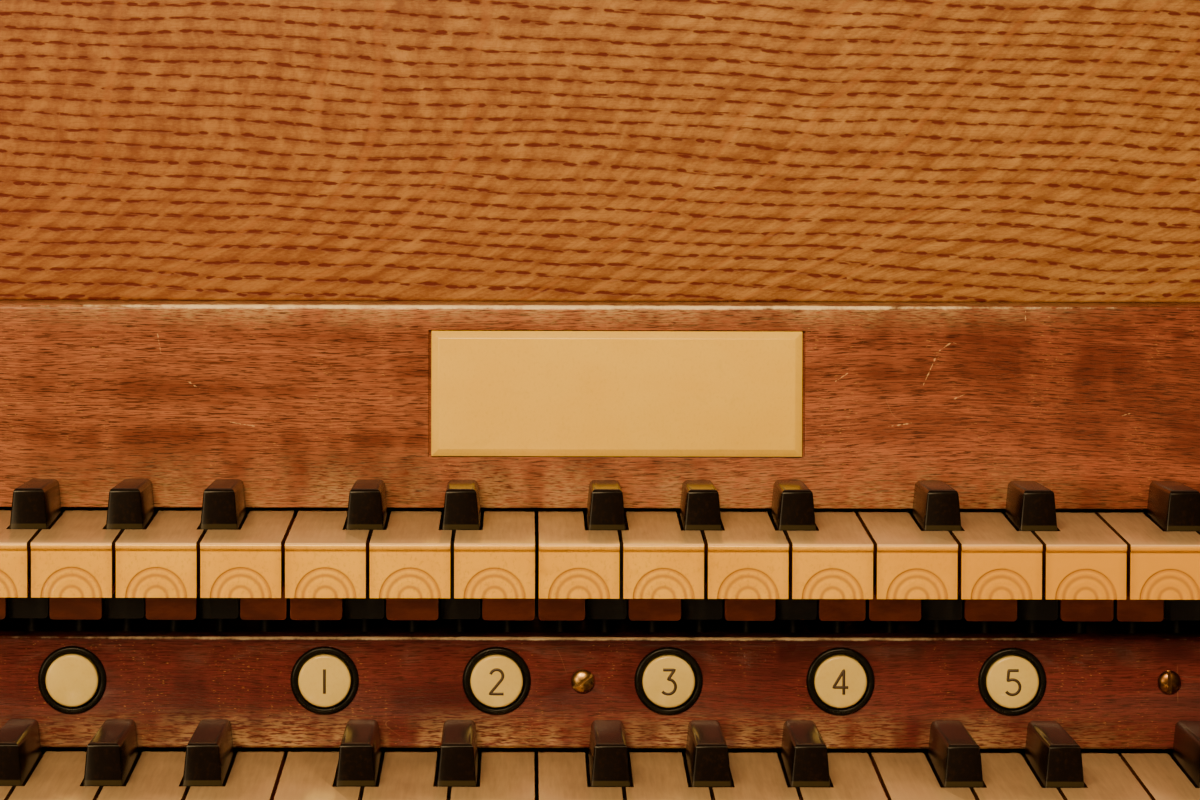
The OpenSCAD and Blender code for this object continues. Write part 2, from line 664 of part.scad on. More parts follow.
// The board behind the nameboard that closes the top between the sides
module top_board() color(OAK) translate([-inner_half, nameboard_back, nameboard_top - top_board_thickness])
    cube([2 * inner_half, back_y - nameboard_back, top_board_thickness]);

// The oak music desk, leaning back from the nameboard's top
module music_desk() color(OAK) translate([0, desk_foot_y, nameboard_top]) along_x(-desk_half, desk_half)
    intersection() {
        rotate(-desk_lean) translate([0, -desk_height])
            polygon(concat([[0, 0], [desk_thickness, 0]],
                arc([desk_thickness - desk_round, 2 * desk_height - desk_round], desk_round, 0, 90, 6),
                arc([desk_round, 2 * desk_height - desk_round], desk_round, 90, 180, 6)));
        translate([-desk_thickness, 0]) square([desk_height + 2 * desk_thickness, 2 * desk_height]);
    }

// Two brackets that stand on the top board and hold the desk at its lean
module desk_brackets() color(OAK) for (side = [-1, 1]) {
    x = side * bracket_place;
    foot = desk_foot_y + desk_thickness / cos(desk_lean);
    head = foot + bracket_height * tan(desk_lean);
    heel = back_y - bracket_margin;
    along_x(x - bracket_thickness / 2, x + bracket_thickness / 2)
        polygon([[foot, nameboard_top], [heel, nameboard_top], [heel, nameboard_top + bracket_toe],
            [head + bracket_toe, nameboard_top + bracket_height], [head, nameboard_top + bracket_height]]);
}

keybed();
side(-outer_half);  // side_left
side(inner_half);  // side_right
key_slip();
lower_cheek(-inner_half);  // lower_cheek_left
lower_cheek(keys_half);  // lower_cheek_right
lower_key_rails();
felt(lower_front, lower_frame_top);  // lower_felt
pivot_rod(lower_front, lower_top);  // lower_pivot_rod
lower_naturals();
lower_sharps();
upper_key_frame();
felt(upper_front, upper_frame_top);  // upper_felt
upper_cheek(-inner_half);  // upper_cheek_left
upper_cheek(keys_half);  // upper_cheek_right
pivot_rod(upper_front, upper_top);  // upper_pivot_rod
upper_naturals(BASS_NATURALS);  // bass_naturals
upper_sharps(BASS_SHARPS);  // bass_sharps
upper_naturals(TREBLE_NATURALS);  // treble_naturals
upper_sharps(TREBLE_SHARPS);  // treble_sharps
piston_rail();
piston_bezels();
rail_screws();
nameboard();
nameboard_plate();
back_board();
top_board();
music_desk();
desk_brackets();
for (n = FREE_NATURALS) upper_natural(n);
for (n = FREE_SHARPS) upper_sharp(n);
for (i = [0 : piston_count]) piston(i);
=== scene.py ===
import math

import bmesh
import bpy
from mathutils import Matrix, Vector


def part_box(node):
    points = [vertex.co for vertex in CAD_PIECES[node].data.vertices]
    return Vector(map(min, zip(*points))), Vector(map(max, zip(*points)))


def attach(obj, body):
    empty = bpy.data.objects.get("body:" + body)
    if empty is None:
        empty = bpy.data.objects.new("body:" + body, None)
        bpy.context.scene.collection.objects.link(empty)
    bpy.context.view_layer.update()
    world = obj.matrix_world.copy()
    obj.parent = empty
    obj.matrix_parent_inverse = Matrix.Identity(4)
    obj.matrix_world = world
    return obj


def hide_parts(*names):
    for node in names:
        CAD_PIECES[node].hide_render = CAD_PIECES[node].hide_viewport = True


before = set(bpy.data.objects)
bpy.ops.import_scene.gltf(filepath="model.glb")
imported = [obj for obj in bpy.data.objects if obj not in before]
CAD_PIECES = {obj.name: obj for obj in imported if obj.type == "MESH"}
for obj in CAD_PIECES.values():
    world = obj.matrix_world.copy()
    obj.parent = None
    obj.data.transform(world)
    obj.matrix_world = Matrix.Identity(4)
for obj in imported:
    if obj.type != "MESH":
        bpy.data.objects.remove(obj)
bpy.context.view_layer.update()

# The keydesk stands on a plain pale floor in soft, warm studio light: a broad panel above the camera, a
# low fill from the left and a third panel that lights the back. The camera is the photograph's long
# lens, 16 cm above the upper keys. It looks down by three degrees and a little to the right.
NOSE_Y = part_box("key_f4")[0][1]
TOP_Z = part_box("key_f4")[1][2]
LENS_PIXELS = 7625.0
IMAGE_WIDTH = 1200.0
SENSOR = 36.0
QUARTER_TURN = math.radians(90.0)


def node(tree, kind, inputs=None, **settings):
    made = tree.nodes.new(kind)
    for key, value in settings.items():
        setattr(made, key, value)
    for key, value in (inputs or {}).items():
        if isinstance(value, bpy.types.NodeSocket):
            tree.links.new(value, made.inputs[key])
        else:
            made.inputs[key].default_value = value
    return made


def new_material(name):
    """An empty material, its node tree and the coordinates of the piece it is on."""
    made = bpy.data.materials.new(name)
    made.use_nodes = True
    tree = made.node_tree
    tree.nodes.clear()
    return made, tree, node(tree, "ShaderNodeTexCoord").outputs["Object"]


def surface(tree, colour, roughness, more=None):
    inputs = {"Base Color": colour, "Roughness": roughness, **(more or {})}
    shader = node(tree, "ShaderNodeBsdfPrincipled", inputs)
    node(tree, "ShaderNodeOutputMaterial", {"Surface": shader.outputs[0]})


def area_light(name, place, aim, width, height, power, colour, spread=180.0):
    lamp = bpy.data.lights.new(name, "AREA")
    lamp.shape = "RECTANGLE"
    lamp.size = width
    lamp.size_y = height
    lamp.energy = power
    lamp.color = colour
    lamp.spread = math.radians(spread)
    holder = bpy.data.objects.new(name, lamp)
    bpy.context.collection.objects.link(holder)
    holder.location = place
    holder.rotation_euler = (Vector(aim) - Vector(place)).to_track_quat("-Z", "Y").to_euler()


WARM = (1.0, 0.67, 0.31)
PALE_WARM = (1.0, 0.86, 0.70)
ROOM = (1.0, 0.72, 0.45, 1.0)
PALE_FLOOR = (0.62, 0.59, 0.55, 1.0)
area_light("light_front", (-0.3, -1.85, 1.3), (-0.03, 0.0, 0.15), 1.0, 0.5, 6.9, WARM, 56.0)
area_light("light_left", (-1.2, -1.9, 0.40), (0.0, 0.0, 0.12), 0.6, 0.5, 1.4, WARM, 56.0)
area_light("light_back", (0.6, 1.5, 1.3), (0.0, 0.1, 0.2), 1.2, 0.8, 34.0, PALE_WARM)

world = bpy.data.worlds.new("studio")
world.use_nodes = True
background = world.node_tree.nodes["Background"].inputs
background["Color"].default_value = ROOM
background["Strength"].default_value = 0.10
bpy.context.scene.world = world

camera_data = bpy.data.cameras.new("camera")
camera_data.sensor_width = SENSOR
camera_data.lens = LENS_PIXELS / IMAGE_WIDTH * SENSOR
camera = bpy.data.objects.new("camera", camera_data)
bpy.context.collection.objects.link(camera)
CAMERA_FROM_NOSES = Vector((-0.0261, -2.1113, 0.1615))
PITCH = math.radians(3.294)
YAW = math.radians(0.543)
ROLL = math.radians(0.153)
turn = (Matrix.Rotation(-YAW, 4, "Z") @ Matrix.Rotation(QUARTER_TURN - PITCH, 4, "X")
        @ Matrix.Rotation(ROLL, 4, "Z"))
camera.matrix_world = Matrix.Translation(Vector((0.0, NOSE_Y, TOP_Z)) + CAMERA_FROM_NOSES) @ turn
bpy.context.scene.camera = camera

floor_mesh = bpy.data.meshes.new("floor")
floor_bm = bmesh.new()
bmesh.ops.create_grid(floor_bm, x_segments=1, y_segments=1, size=6.0)
floor_bm.to_mesh(floor_mesh)
floor_bm.free()
floor = bpy.data.objects.new("floor", floor_mesh)
bpy.context.collection.objects.link(floor)
floor_paint, t, here = new_material("floor_paint")
surface(t, PALE_FLOOR, 0.85)
floor_mesh.materials.append(floor_paint)


# The keybed is one wide oak board on which everything else stands, cut on the quarter and varnished.
# The sides, the back, the top board, the music desk and its two brackets are of the same oak.
def maths(tree, operation, a, b=0.0, c=0.0, clamp=False):
    return node(tree, "ShaderNodeMath", {0: a, 1: b, 2: c}, operation=operation, use_clamp=clamp).outputs[0]


def plus(tree, a, b):
    return maths(tree, "ADD", a, b)


def minus(tree, a, b):
    return maths(tree, "SUBTRACT", a, b)


def times(tree, a, b):
    return maths(tree, "MULTIPLY", a, b)


def scaled(tree, a, factor, start):
    return maths(tree, "MULTIPLY_ADD", a, factor, start)


def larger(tree, a, b):
    return maths(tree, "MAXIMUM", a, b)


def apart(tree, a, b):
    return maths(tree, "ABSOLUTE", minus(tree, a, b))


def inverse(tree, a):
    return minus(tree, 1.0, a)


def rising(tree, value, low, high):
    return node(tree, "ShaderNodeMapRange", {"Value": value, "From Min": low, "From Max": high},
                interpolation_type="SMOOTHSTEP").outputs["Result"]


def mixed(tree, factor, first, second):
    return node(tree, "ShaderNodeMix", {0: factor, 6: first, 7: second}, data_type="RGBA").outputs[2]


def stretched(tree, vector, scale, turned=(0.0, 0.0, 0.0), place=(0.0, 0.0, 0.0)):
    return node(tree, "ShaderNodeMapping", {"Vector": vector, "Scale": scale, "Rotation": turned,
                                            "Location": place}).outputs[0]


def noise(tree, vector, scale, detail, roughness=0.5, distortion=0.0):
    """Noise at one scale, or at three where the pattern is drawn out along an axis."""
    if isinstance(scale, tuple):
        vector, scale = stretched(tree, vector, scale), 1.0
    return node(tree, "ShaderNodeTexNoise", {"Vector": vector, "Scale": scale, "Detail": detail,
                                             "Roughness": roughness, "Distortion": distortion}).outputs[0]


def split(tree, vector):
    return node(tree, "ShaderNodeSeparateXYZ", {0: vector}).outputs


def facing(tree):
    """The three parts of the direction in which the surface faces."""
    return split(tree, node(tree, "ShaderNodeNewGeometry").outputs["Normal"])


def bumped(tree, strength, distance, height):
    inputs = {"Strength": strength, "Distance": distance, "Height": height}
    return node(tree, "ShaderNodeBump", inputs).outputs[0]


def new_group(name, inputs, outputs):
    tree = bpy.data.node_groups.new(name, "ShaderNodeTree")
    for way, sockets in (("INPUT", inputs), ("OUTPUT", outputs)):
        for label, kind in sockets:
            tree.interface.new_socket(label, in_out=way, socket_type=kind)
    return tree, tree.nodes.new("NodeGroupInput").outputs, tree.nodes.new("NodeGroupOutput").inputs


def use_group(tree, group, inputs):
    return node(tree, "ShaderNodeGroup", inputs, node_tree=group).outputs


# The figure of the woods is laid out in millimetres.
TO_MILLIMETRES = (1000.0, 1000.0, 1000.0)
# The left and right colours are painted shade and painted light across the oak boards.
OAK_PALE_LEFT = (0.3892, 0.1799, 0.0599, 1.0)
OAK_PALE_RIGHT = (0.4583, 0.2544, 0.0912, 1.0)
OAK_DEEP_LEFT = (0.1804, 0.0484, 0.0147, 1.0)
OAK_DEEP_RIGHT = (0.2021, 0.0739, 0.024, 1.0)
OAK_FEATHER = (0.188, 0.0528, 0.012, 1.0)
OAK_RAY = (0.3553, 0.125, 0.034, 1.0)
OAK_PORE = (0.105, 0.009, 0.005, 1.0)
ROW = 4.25
ROW_FALL = 0.045
DASH_PITCH = 6.5
LONG_DASH_PITCH = 10.5
RAY_PLACES = (-166, -152, -89, -73, -45, 32, 53, 83, 118, 139)
RAY_REPEAT = 165.0
RAY_BEND = 52.0


def dashes(t, x, row, wander, pitch, seed, thickest):
    """One rank of tapered pores along each row: positive inside a pore. Each has its own length and place."""
    rank = maths(t, "FLOOR", row)
    start = node(t, "ShaderNodeTexWhiteNoise", {"W": plus(t, rank, seed)}, noise_dimensions="1D")
    along = scaled(t, x, 1.0 / pitch, times(t, start.outputs["Value"], 7.0))
    cell = node(t, "ShaderNodeCombineXYZ", {"X": maths(t, "FLOOR", along), "Y": rank, "Z": seed})
    drawn = node(t, "ShaderNodeTexWhiteNoise", {"Vector": cell.outputs[0]}, noise_dimensions="3D")
    chance = split(t, drawn.outputs["Color"])
    half = scaled(t, chance["X"], 0.26, 0.22)
    middle = scaled(t, chance["Y"], 0.2, 0.4)
    off = maths(t, "DIVIDE", minus(t, maths(t, "FRACT", along), middle), half)
    taper = inverse(t, maths(t, "POWER", maths(t, "ABSOLUTE", off), 3.0))
    lift = scaled(t, chance["Z"], 0.18, 0.41)
    away = apart(t, plus(t, maths(t, "FRACT", row), wander), lift)
    thick = scaled(t, chance["Y"], thickest * 0.5, thickest * 0.5)
    return minus(t, times(t, taper, thick), away)


oak_figure, oak_in, oak_out = new_group(
    "quartered_oak",
    [("Vector", "NodeSocketVector")],
    [("Colour", "NodeSocketColor"), ("Pores", "NodeSocketFloat"), ("Height", "NodeSocketFloat")])
t = oak_figure
grain = stretched(t, oak_in["Vector"], TO_MILLIMETRES)
spot = split(t, grain)
x = spot["X"]
z = scaled(t, spot["Y"], 0.9, spot["Z"])
drift = noise(t, grain, (0.011, 0.011, 0.030), 2.0)
level = scaled(t, drift, 9.0, scaled(t, x, ROW_FALL, z))
row = times(t, level, 1.0 / ROW)
ragged = noise(t, grain, (0.55, 0.55, 2.6), 1.0)
wander = scaled(t, ragged, 0.16, -0.08)
short_marks = dashes(t, x, row, wander, DASH_PITCH, 3.0, 0.130)
long_marks = dashes(t, x, row, wander, LONG_DASH_PITCH, 11.0, 0.055)
marks = rising(t, larger(t, short_marks, long_marks), -0.055, 0.045)

# The medullary rays run straight up at the left, lean over to the right and bend away near the foot.
lean = scaled(t, rising(t, x, -60.0, 110.0), 0.88, 0.09)
below = larger(t, minus(t, RAY_BEND, z), 0.0)
upright = minus(t, x, times(t, lean, minus(t, z, 45.0)))
bent = scaled(t, times(t, below, below), 0.020, upright)
wavy = noise(t, grain, (0.02, 0.02, 0.045), 1.0)
field = scaled(t, wavy, 9.0, plus(t, bent, -4.5))
wrapped = maths(t, "WRAP", field, RAY_REPEAT, -RAY_REPEAT)
ribbons = 0.0
for ray in RAY_PLACES:
    aside = apart(t, wrapped, float(ray))
    ribbons = larger(t, ribbons, inverse(t, rising(t, aside, 0.6, 1.8)))
thin_ray = noise(t, grain, (0.05, 0.05, 0.022), 1.0)
rays = times(t, ribbons, rising(t, thin_ray, 0.30, 0.46))

# Between the rows the wood shines in soft bands and feathers that follow the rays.
along_rays = node(t, "ShaderNodeCombineXYZ", {"X": field, "Y": spot["Y"], "Z": z}).outputs[0]
shine = noise(t, along_rays, (0.16, 0.03, 0.10), 2.0, 0.6)
feather = noise(t, along_rays, (0.70, 0.05, 0.26), 3.0, 0.65, 0.6)
thread = noise(t, stretched(t, grain, (0.12, 0.2, 2.1), (0.0, math.radians(2.4), 0.0)), 1.0, 3.0, 0.65)
mottle = noise(t, grain, (0.55, 0.6, 1.5), 4.0, 0.75)
between = rising(t, apart(t, maths(t, "FRACT", row), 0.5), 0.08, 0.42)
tone = scaled(t, between, 0.14, scaled(t, mottle, 0.65, shine))
# Towards the lower left the oak is painted darker and redder, and towards the upper right paler: painted
# shade and painted light where less and more light falls.
painted_light_across = rising(t, scaled(t, z, 0.8, x), -190.0, 150.0)
pale = mixed(t, painted_light_across, OAK_PALE_LEFT, OAK_PALE_RIGHT)
deep = mixed(t, painted_light_across, OAK_DEEP_LEFT, OAK_DEEP_RIGHT)
base = mixed(t, rising(t, tone, 0.62, 1.26), deep, pale)
base = mixed(t, times(t, rising(t, feather, 0.46, 0.72), 0.30), base, OAK_FEATHER)
base = mixed(t, times(t, rising(t, thread, 0.50, 0.70), 0.42), base, OAK_FEATHER)
base = mixed(t, times(t, rays, 0.30), base, OAK_RAY)
pore_cut = times(t, marks, inverse(t, times(t, rays, 0.92)))
base = mixed(t, times(t, pore_cut, 0.94), base, OAK_PORE)
t.links.new(base, oak_out["Colour"])
t.links.new(pore_cut, oak_out["Pores"])
t.links.new(inverse(t, marks), oak_out["Height"])


def oak(name, turned, place):
    made, t, here = new_material(name)
    figure = use_group(t, oak_figure, {"Vector": stretched(t, here, (1.0, 1.0, 1.0), turned, place)})
    surface(t, figure["Colour"], scaled(t, figure["Pores"], 0.2, 0.40), {
        "Normal": bumped(t, 0.35, 0.0004, figure["Height"]), "Specular IOR Level": 0.15})
    return made


def add_piece(name, mesh, material, body, slot, *replaced):
    piece = bpy.data.objects.new(name, mesh)
    bpy.context.collection.objects.link(piece)
    mesh.materials.clear()
    mesh.materials.append(material)
    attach(piece, body)
    if replaced:
        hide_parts(*replaced)
    return piece


def smooth_by_angle(mesh, degrees):
    mesh.shade_smooth()
    mesh.set_sharp_from_angle(angle=math.radians(degrees))


def finished(bm, name, degrees):
    """Makes a piece's mesh of the modelling mesh, smooth but for the edges sharper than an angle."""
    mesh = bpy.data.meshes.new(name)
    bm.to_mesh(mesh)
    bm.free()
    smooth_by_angle(mesh, degrees)
    return mesh


def rounded(bm, edges, width, segments):
    bmesh.ops.bevel(bm, geom=edges, offset=width, offset_type="OFFSET", segments=segments, profile=0.5,
                    affect="EDGES", material=-1, clamp_overlap=True)


def eased_board(node_name, material, slot, width, segments=2):
    """A board of the frame with its long edges rounded over by a plane, as a joiner leaves them."""
    bm = bmesh.new()
    bm.from_mesh(CAD_PIECES[node_name].data)
    bmesh.ops.remove_doubles(bm, verts=bm.verts[:], dist=0.00001)
    bmesh.ops.dissolve_limit(bm, angle_limit=math.radians(1.0), verts=bm.verts[:], edges=bm.edges[:])
    corners = [e for e in bm.edges if len(e.link_faces) == 2 and e.calc_face_angle(0.0) > math.radians(35.0)]
    rounded(bm, corners, width, segments)
    mesh = finished(bm, node_name + "_eased", 40.0)
    return add_piece(node_name + "_eased", mesh, material, "keydesk", slot, node_name)


flat_oak = oak("oak_flat_boards", (QUARTER_TURN, 0.0, 0.0), (0.3, 0.0, 0.1))
eased_board("keybed", flat_oak, "oak", 0.0015)

# The two stepped sides are sawn from one board each, with the grain running from front to back.
side_oak = oak("oak_sides", (0.0, 0.0, QUARTER_TURN), (0.7, 0.2, 0.0))
for side in ("side_left", "side_right"):
    eased_board(side, side_oak, "oak", 0.002, 3)


# The key slip closes the front under the lower naturals, and a cheek stands at each end of either
# manual. All five are mahogany from one plank, french polished, with their arrises eased by hand.
MAHOGANY_VESSEL = (0.035, 0.005, 0.002, 1.0)
MAHOGANY_FLECK = (0.55, 0.28, 0.09, 1.0)
# The colour of the painted golden glow, a painted reflection of light from the keys.
MAHOGANY_PAINTED_GLOW = (0.60, 0.41, 0.21, 1.0)
# Bright cream for the rubbed arrises, painted as a highlight as well as wear.
RUBBED_HIGHLIGHT = (1.0, 0.84, 0.56, 1.0)
FINE_SCRATCH = (0.60, 0.34, 0.16, 1.0)
DEEP_SCRATCH = (0.80, 0.50, 0.25, 1.0)
MIDDLE_X = -0.02


def vectors(tree, operation, a, b):
    return node(tree, "ShaderNodeVectorMath", {0: a, 1: b}, operation=operation).outputs


mahogany_figure, mahogany_in, mahogany_out = new_group(
    "polished_mahogany",
    [("Vector", "NodeSocketVector"), ("Light", "NodeSocketColor"), ("Dark", "NodeSocketColor")],
    [("Colour", "NodeSocketColor"), ("Gloss", "NodeSocketFloat"), ("Height", "NodeSocketFloat")])
t = mahogany_figure
grain = stretched(t, mahogany_in["Vector"], TO_MILLIMETRES)
swell = noise(t, grain, (0.007, 0.010, 0.012), 1.0)
sway = node(t, "ShaderNodeCombineXYZ", {"Z": times(t, swell, 16.0)}).outputs[0]
bowed = vectors(t, "ADD", grain, sway)["Vector"]
bands = noise(t, bowed, (0.006, 0.03, 0.10), 3.0, 0.6)
streaks = noise(t, bowed, (0.055, 0.12, 2.3), 4.0, 0.75)
vessels = noise(t, bowed, (0.20, 0.5, 4.6), 2.0, 0.6)
vessel_cut = rising(t, vessels, 0.51, 0.61)
flecks = rising(t, noise(t, bowed, (0.75, 1.0, 3.4), 1.0), 0.66, 0.74)
glow = noise(t, grain, (0.075, 0.03, 0.035), 2.0, 0.6)
tone = mixed(t, rising(t, bands, 0.30, 0.70), mahogany_in["Dark"], mahogany_in["Light"])
tone = mixed(t, times(t, rising(t, glow, 0.40, 0.62), 0.55), tone, mahogany_in["Light"])
tone = mixed(t, times(t, rising(t, streaks, 0.45, 0.62), 0.75), tone, mahogany_in["Dark"])
tone = mixed(t, times(t, vessel_cut, 0.85), tone, MAHOGANY_VESSEL)
tone = mixed(t, times(t, times(t, flecks, rising(t, glow, 0.5, 0.62)), 0.5), tone, MAHOGANY_FLECK)
t.links.new(tone, mahogany_out["Colour"])
t.links.new(scaled(t, vessel_cut, 0.22, scaled(t, glow, 0.16, 0.22)), mahogany_out["Gloss"])
t.links.new(inverse(t, vessel_cut), mahogany_out["Height"])

# Scratches are fine broken lines, as rings, sleeves and music books leave in a polished face.
scratch_lines, scratch_in, scratch_out = new_group(
    "fine_scratches", [("Vector", "NodeSocketVector"), ("Amount", "NodeSocketFloat")],
    [("Mask", "NodeSocketFloat")])
t = scratch_lines
here = scratch_in["Vector"]
lines = noise(t, stretched(t, here, (16.0, 30.0, 70.0), (0.0, math.radians(24.0), 0.0)), 1.0, 0.0, 0.5, 0.4)
crossing = noise(t, stretched(t, here, (50.0, 30.0, 20.0), (0.0, math.radians(-35.0), 0.0), (2.0, 1.0, 3.0)),
                 1.0, 0.0, 0.5, 0.3)
patches = noise(t, stretched(t, here, (60.0, 60.0, 60.0), (0.0, 0.0, 0.0), (0.4, 0.2, 0.9)), 1.0, 1.0)
first = inverse(t, rising(t, apart(t, lines, 0.5), 0.0005, 0.0016))
second = inverse(t, rising(t, apart(t, crossing, 0.5), 0.0004, 0.0013))
broken = times(t, larger(t, first, second), rising(t, patches, 0.60, 0.66))
t.links.new(times(t, broken, scratch_in["Amount"]), scratch_out["Mask"])

one_scratch, scratch_in, scratch_out = new_group(
    "one_scratch", [("Vector", "NodeSocketVector"), ("From", "NodeSocketVector"),
                    ("To", "NodeSocketVector"), ("Skips", "NodeSocketFloat")],
    [("Mask", "NodeSocketFloat")])
t = one_scratch
flat = vectors(t, "MULTIPLY", scratch_in["Vector"], (1.0, 0.0, 1.0))["Vector"]
span = vectors(t, "SUBTRACT", scratch_in["To"], scratch_in["From"])["Vector"]
offset = vectors(t, "SUBTRACT", flat, scratch_in["From"])["Vector"]
share = maths(t, "DIVIDE", vectors(t, "DOT_PRODUCT", offset, span)["Value"],
              vectors(t, "DOT_PRODUCT", span, span)["Value"], clamp=True)
nearest = node(t, "ShaderNodeVectorMath", {0: span, "Scale": share}, operation="SCALE").outputs["Vector"]
away = vectors(t, "LENGTH", vectors(t, "SUBTRACT", offset, nearest)["Vector"], (0.0, 0.0, 0.0))["Value"]
ragged = scaled(t, scratch_in["Skips"], 0.0009, minus(t, away, 0.00042))
t.links.new(inverse(t, rising(t, ragged, 0.00002, 0.00018)), scratch_out["Mask"])


def mahogany(name, light, dark, turned=(0.0, 0.0, 0.0), place=(0.0, 0.0, 0.0), worn=None, painted_glow=(),
             scratches=0.25, shade_right=None, scored=()):
    """Polished mahogany. The arris mask paints a rubbed arris bright, as wear and a painted highlight; the
    glow heights add painted golden glows that stand in for reflected light; the right-hand colours are
    painted shade towards the right; scored adds single deeper scratches."""
    made, t, here = new_material(name)
    spot = split(t, here)
    # Towards the right the colours are painted darker and redder: painted shade where less light falls.
    if shade_right:
        across = rising(t, spot["X"], MIDDLE_X, 0.16)
        light, dark = mixed(t, across, light, shade_right[0]), mixed(t, across, dark, shade_right[1])
    figure = use_group(t, mahogany_figure, {"Vector": stretched(t, here, (1.0, 1.0, 1.0), turned, place),
                                            "Light": light, "Dark": dark})
    colour = figure["Colour"]
    # The golden glows are painted light: reflections of the bright keys near the foot and a glare below the
    # top, painted strongest in the middle.
    if painted_glow:
        patches = rising(t, noise(t, here, (75.0, 60.0, 30.0), 2.0, 0.6), 0.26, 0.60)
        silky = rising(t, noise(t, here, (330.0, 300.0, 2600.0), 2.0, 0.6), 0.34, 0.62)
        aside = apart(t, spot["X"], MIDDLE_X)
        painted_light_centre = inverse(t, rising(t, aside, 0.09, 0.19))
        painted_glow_mask = times(t, patches, times(t, silky, painted_light_centre))
    for full_z, none_z, amount in painted_glow:
        fade = inverse(t, rising(t, spot["Z"], full_z, none_z))
        glowing = times(t, times(t, fade, painted_glow_mask), amount)
        colour = mixed(t, glowing, colour, MAHOGANY_PAINTED_GLOW)
    marks = use_group(t, scratch_lines, {"Vector": here, "Amount": scratches})
    colour = mixed(t, marks["Mask"], colour, FINE_SCRATCH)
    skips = noise(t, here, (900.0, 0.0, 900.0), 1.0) if scored else None
    for start, end in scored:
        stroke = use_group(t, one_scratch, {"Vector": here, "From": start, "To": end, "Skips": skips})
        colour = mixed(t, times(t, stroke["Mask"], 0.6), colour, DEEP_SCRATCH)
    # The arris is painted bright: wear of the polish and a painted highlight.
    if worn:
        colour = mixed(t, worn(t, here), colour, RUBBED_HIGHLIGHT)
    surface(t, colour, figure["Gloss"], {
        "Normal": bumped(t, 0.22, 0.0003, figure["Height"]), "Specular IOR Level": 0.12,
        "Coat Weight": 0.12, "Coat Roughness": 0.12})
    return made


CASE_LIGHT = (0.4026, 0.1375, 0.04, 1.0)
CASE_DARK = (0.16, 0.038, 0.011, 1.0)
slip_mahogany = mahogany("mahogany_slip", CASE_LIGHT, CASE_DARK, place=(0.2, 0.0, 0.4))
cheek_mahogany = mahogany("mahogany_cheeks", CASE_LIGHT, CASE_DARK, (0.0, 0.0, QUARTER_TURN), (0.1, 0.5, 0.0))
eased_board("key_slip", slip_mahogany, "mahogany", 0.0007)
for cheek in ("lower_cheek_left", "lower_cheek_right", "upper_cheek_left", "upper_cheek_right"):
    eased_board(cheek, cheek_mahogany, "mahogany", 0.0010, 3)


# Each manual has its frame of plain straight-grained wood, with steel guide pins and a strip of red
# felt where the levers land. A drawn steel rod runs through every tail from cheek to cheek.
def plain_wood(name, light, dark, turned=(0.0, 0.0, 0.0), rough=0.6):
    made, t, here = new_material(name)
    here = stretched(t, here, (1.0, 1.0, 1.0), turned)
    rings = noise(t, here, (4.0, 90.0, 260.0), 3.0, 0.6, 0.2)
    fibres = noise(t, here, (60.0, 900.0, 2200.0), 2.0, 0.6)
    colour = mixed(t, rising(t, rings, 0.34, 0.68), dark, light)
    colour = mixed(t, times(t, rising(t, fibres, 0.52, 0.75), 0.35), colour, dark)
    surface(t, colour, scaled(t, fibres, 0.2, rough - 0.1), {"Normal": bumped(t, 0.25, 0.0002, fibres)})
    return made


drawn_steel, t, here = new_material("drawn_steel")
drawing = noise(t, here, (8.0, 3000.0, 3000.0), 2.0)
steel_colour = mixed(t, drawing, (0.13, 0.125, 0.12, 1.0), (0.26, 0.25, 0.24, 1.0))
surface(t, steel_colour, scaled(t, drawing, 0.25, 0.22), {"Metallic": 1.0})

frame_wood = plain_wood("frame_wood", (0.50, 0.27, 0.10, 1.0), (0.34, 0.16, 0.05, 1.0))
for part_name, strip in (("lower_key_rails", "lower_felt"), ("upper_key_frame", "upper_felt")):
    made = eased_board(part_name, frame_wood, "frame_wood", 0.0005, 1)
    made.data.materials.append(drawn_steel)
    # Only the guide pins stand above the foot of the felt.
    frame_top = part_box(strip)[0][2] + 0.0001
    for face in made.data.polygons:
        face.material_index = 1 if face.center.z > frame_top else 0

red_felt, t, here = new_material("red_felt")
fluff = noise(t, here, 900.0, 4.0, 0.7)
surface(t, mixed(t, fluff, (0.16, 0.012, 0.012, 1.0), (0.33, 0.035, 0.03, 1.0)), 0.95, {
    "Sheen Weight": 0.4, "Sheen Roughness": 0.5, "Normal": bumped(t, 0.6, 0.0004, fluff)})
for part_name, material in (("lower_felt", red_felt), ("upper_felt", red_felt),
                            ("lower_pivot_rod", drawn_steel), ("upper_pivot_rod", drawn_steel)):
    CAD_PIECES[part_name].data.materials.clear()
    CAD_PIECES[part_name].data.materials.append(material)


# A natural is a wooden lever under a bone plate two millimetres thick. The plate's nose is rounded
# and overhangs a bone front, in which an arcade of rings is turned round its lower edge.
MM = 0.001
OCTAVE = 164.5 * MM
PITCH_NATURAL = OCTAVE / 7
COMPASS = 36 * PITCH_NATURAL
KEY_GAP = 1.1 * MM
HEAD_LENGTH = 50.0 * MM
KEY_LENGTH = 340.0 * MM
PLATE = 2.0 * MM
LIP = 1.4 * MM
FRONT_HEIGHT = 15.4 * MM
FRONT_THICKNESS = 2.6 * MM
LEVER_DEPTH = 25.5 * MM
LEVER_START = 47.6 * MM
WOOD_DROP = 2.3 * MM
UPPER_REACH = 121.5 * MM
LOWER_REACH = 137.5 * MM
PLATE_TUCK = 6.0 * MM
NOSE_ROUNDING = 0.92 * MM
BONE_EDGE = 0.35 * MM
CORE_SHRINK = 0.1 * MM
CORE_ROUNDING = 0.3 * MM
SHARP_WIDTH = 11.3 * MM
SHARP_GAP = 0.6 * MM
LOWER_NOSE_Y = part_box("lower_naturals")[0][1]
LOWER_TOP_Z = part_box("lower_naturals")[1][2]
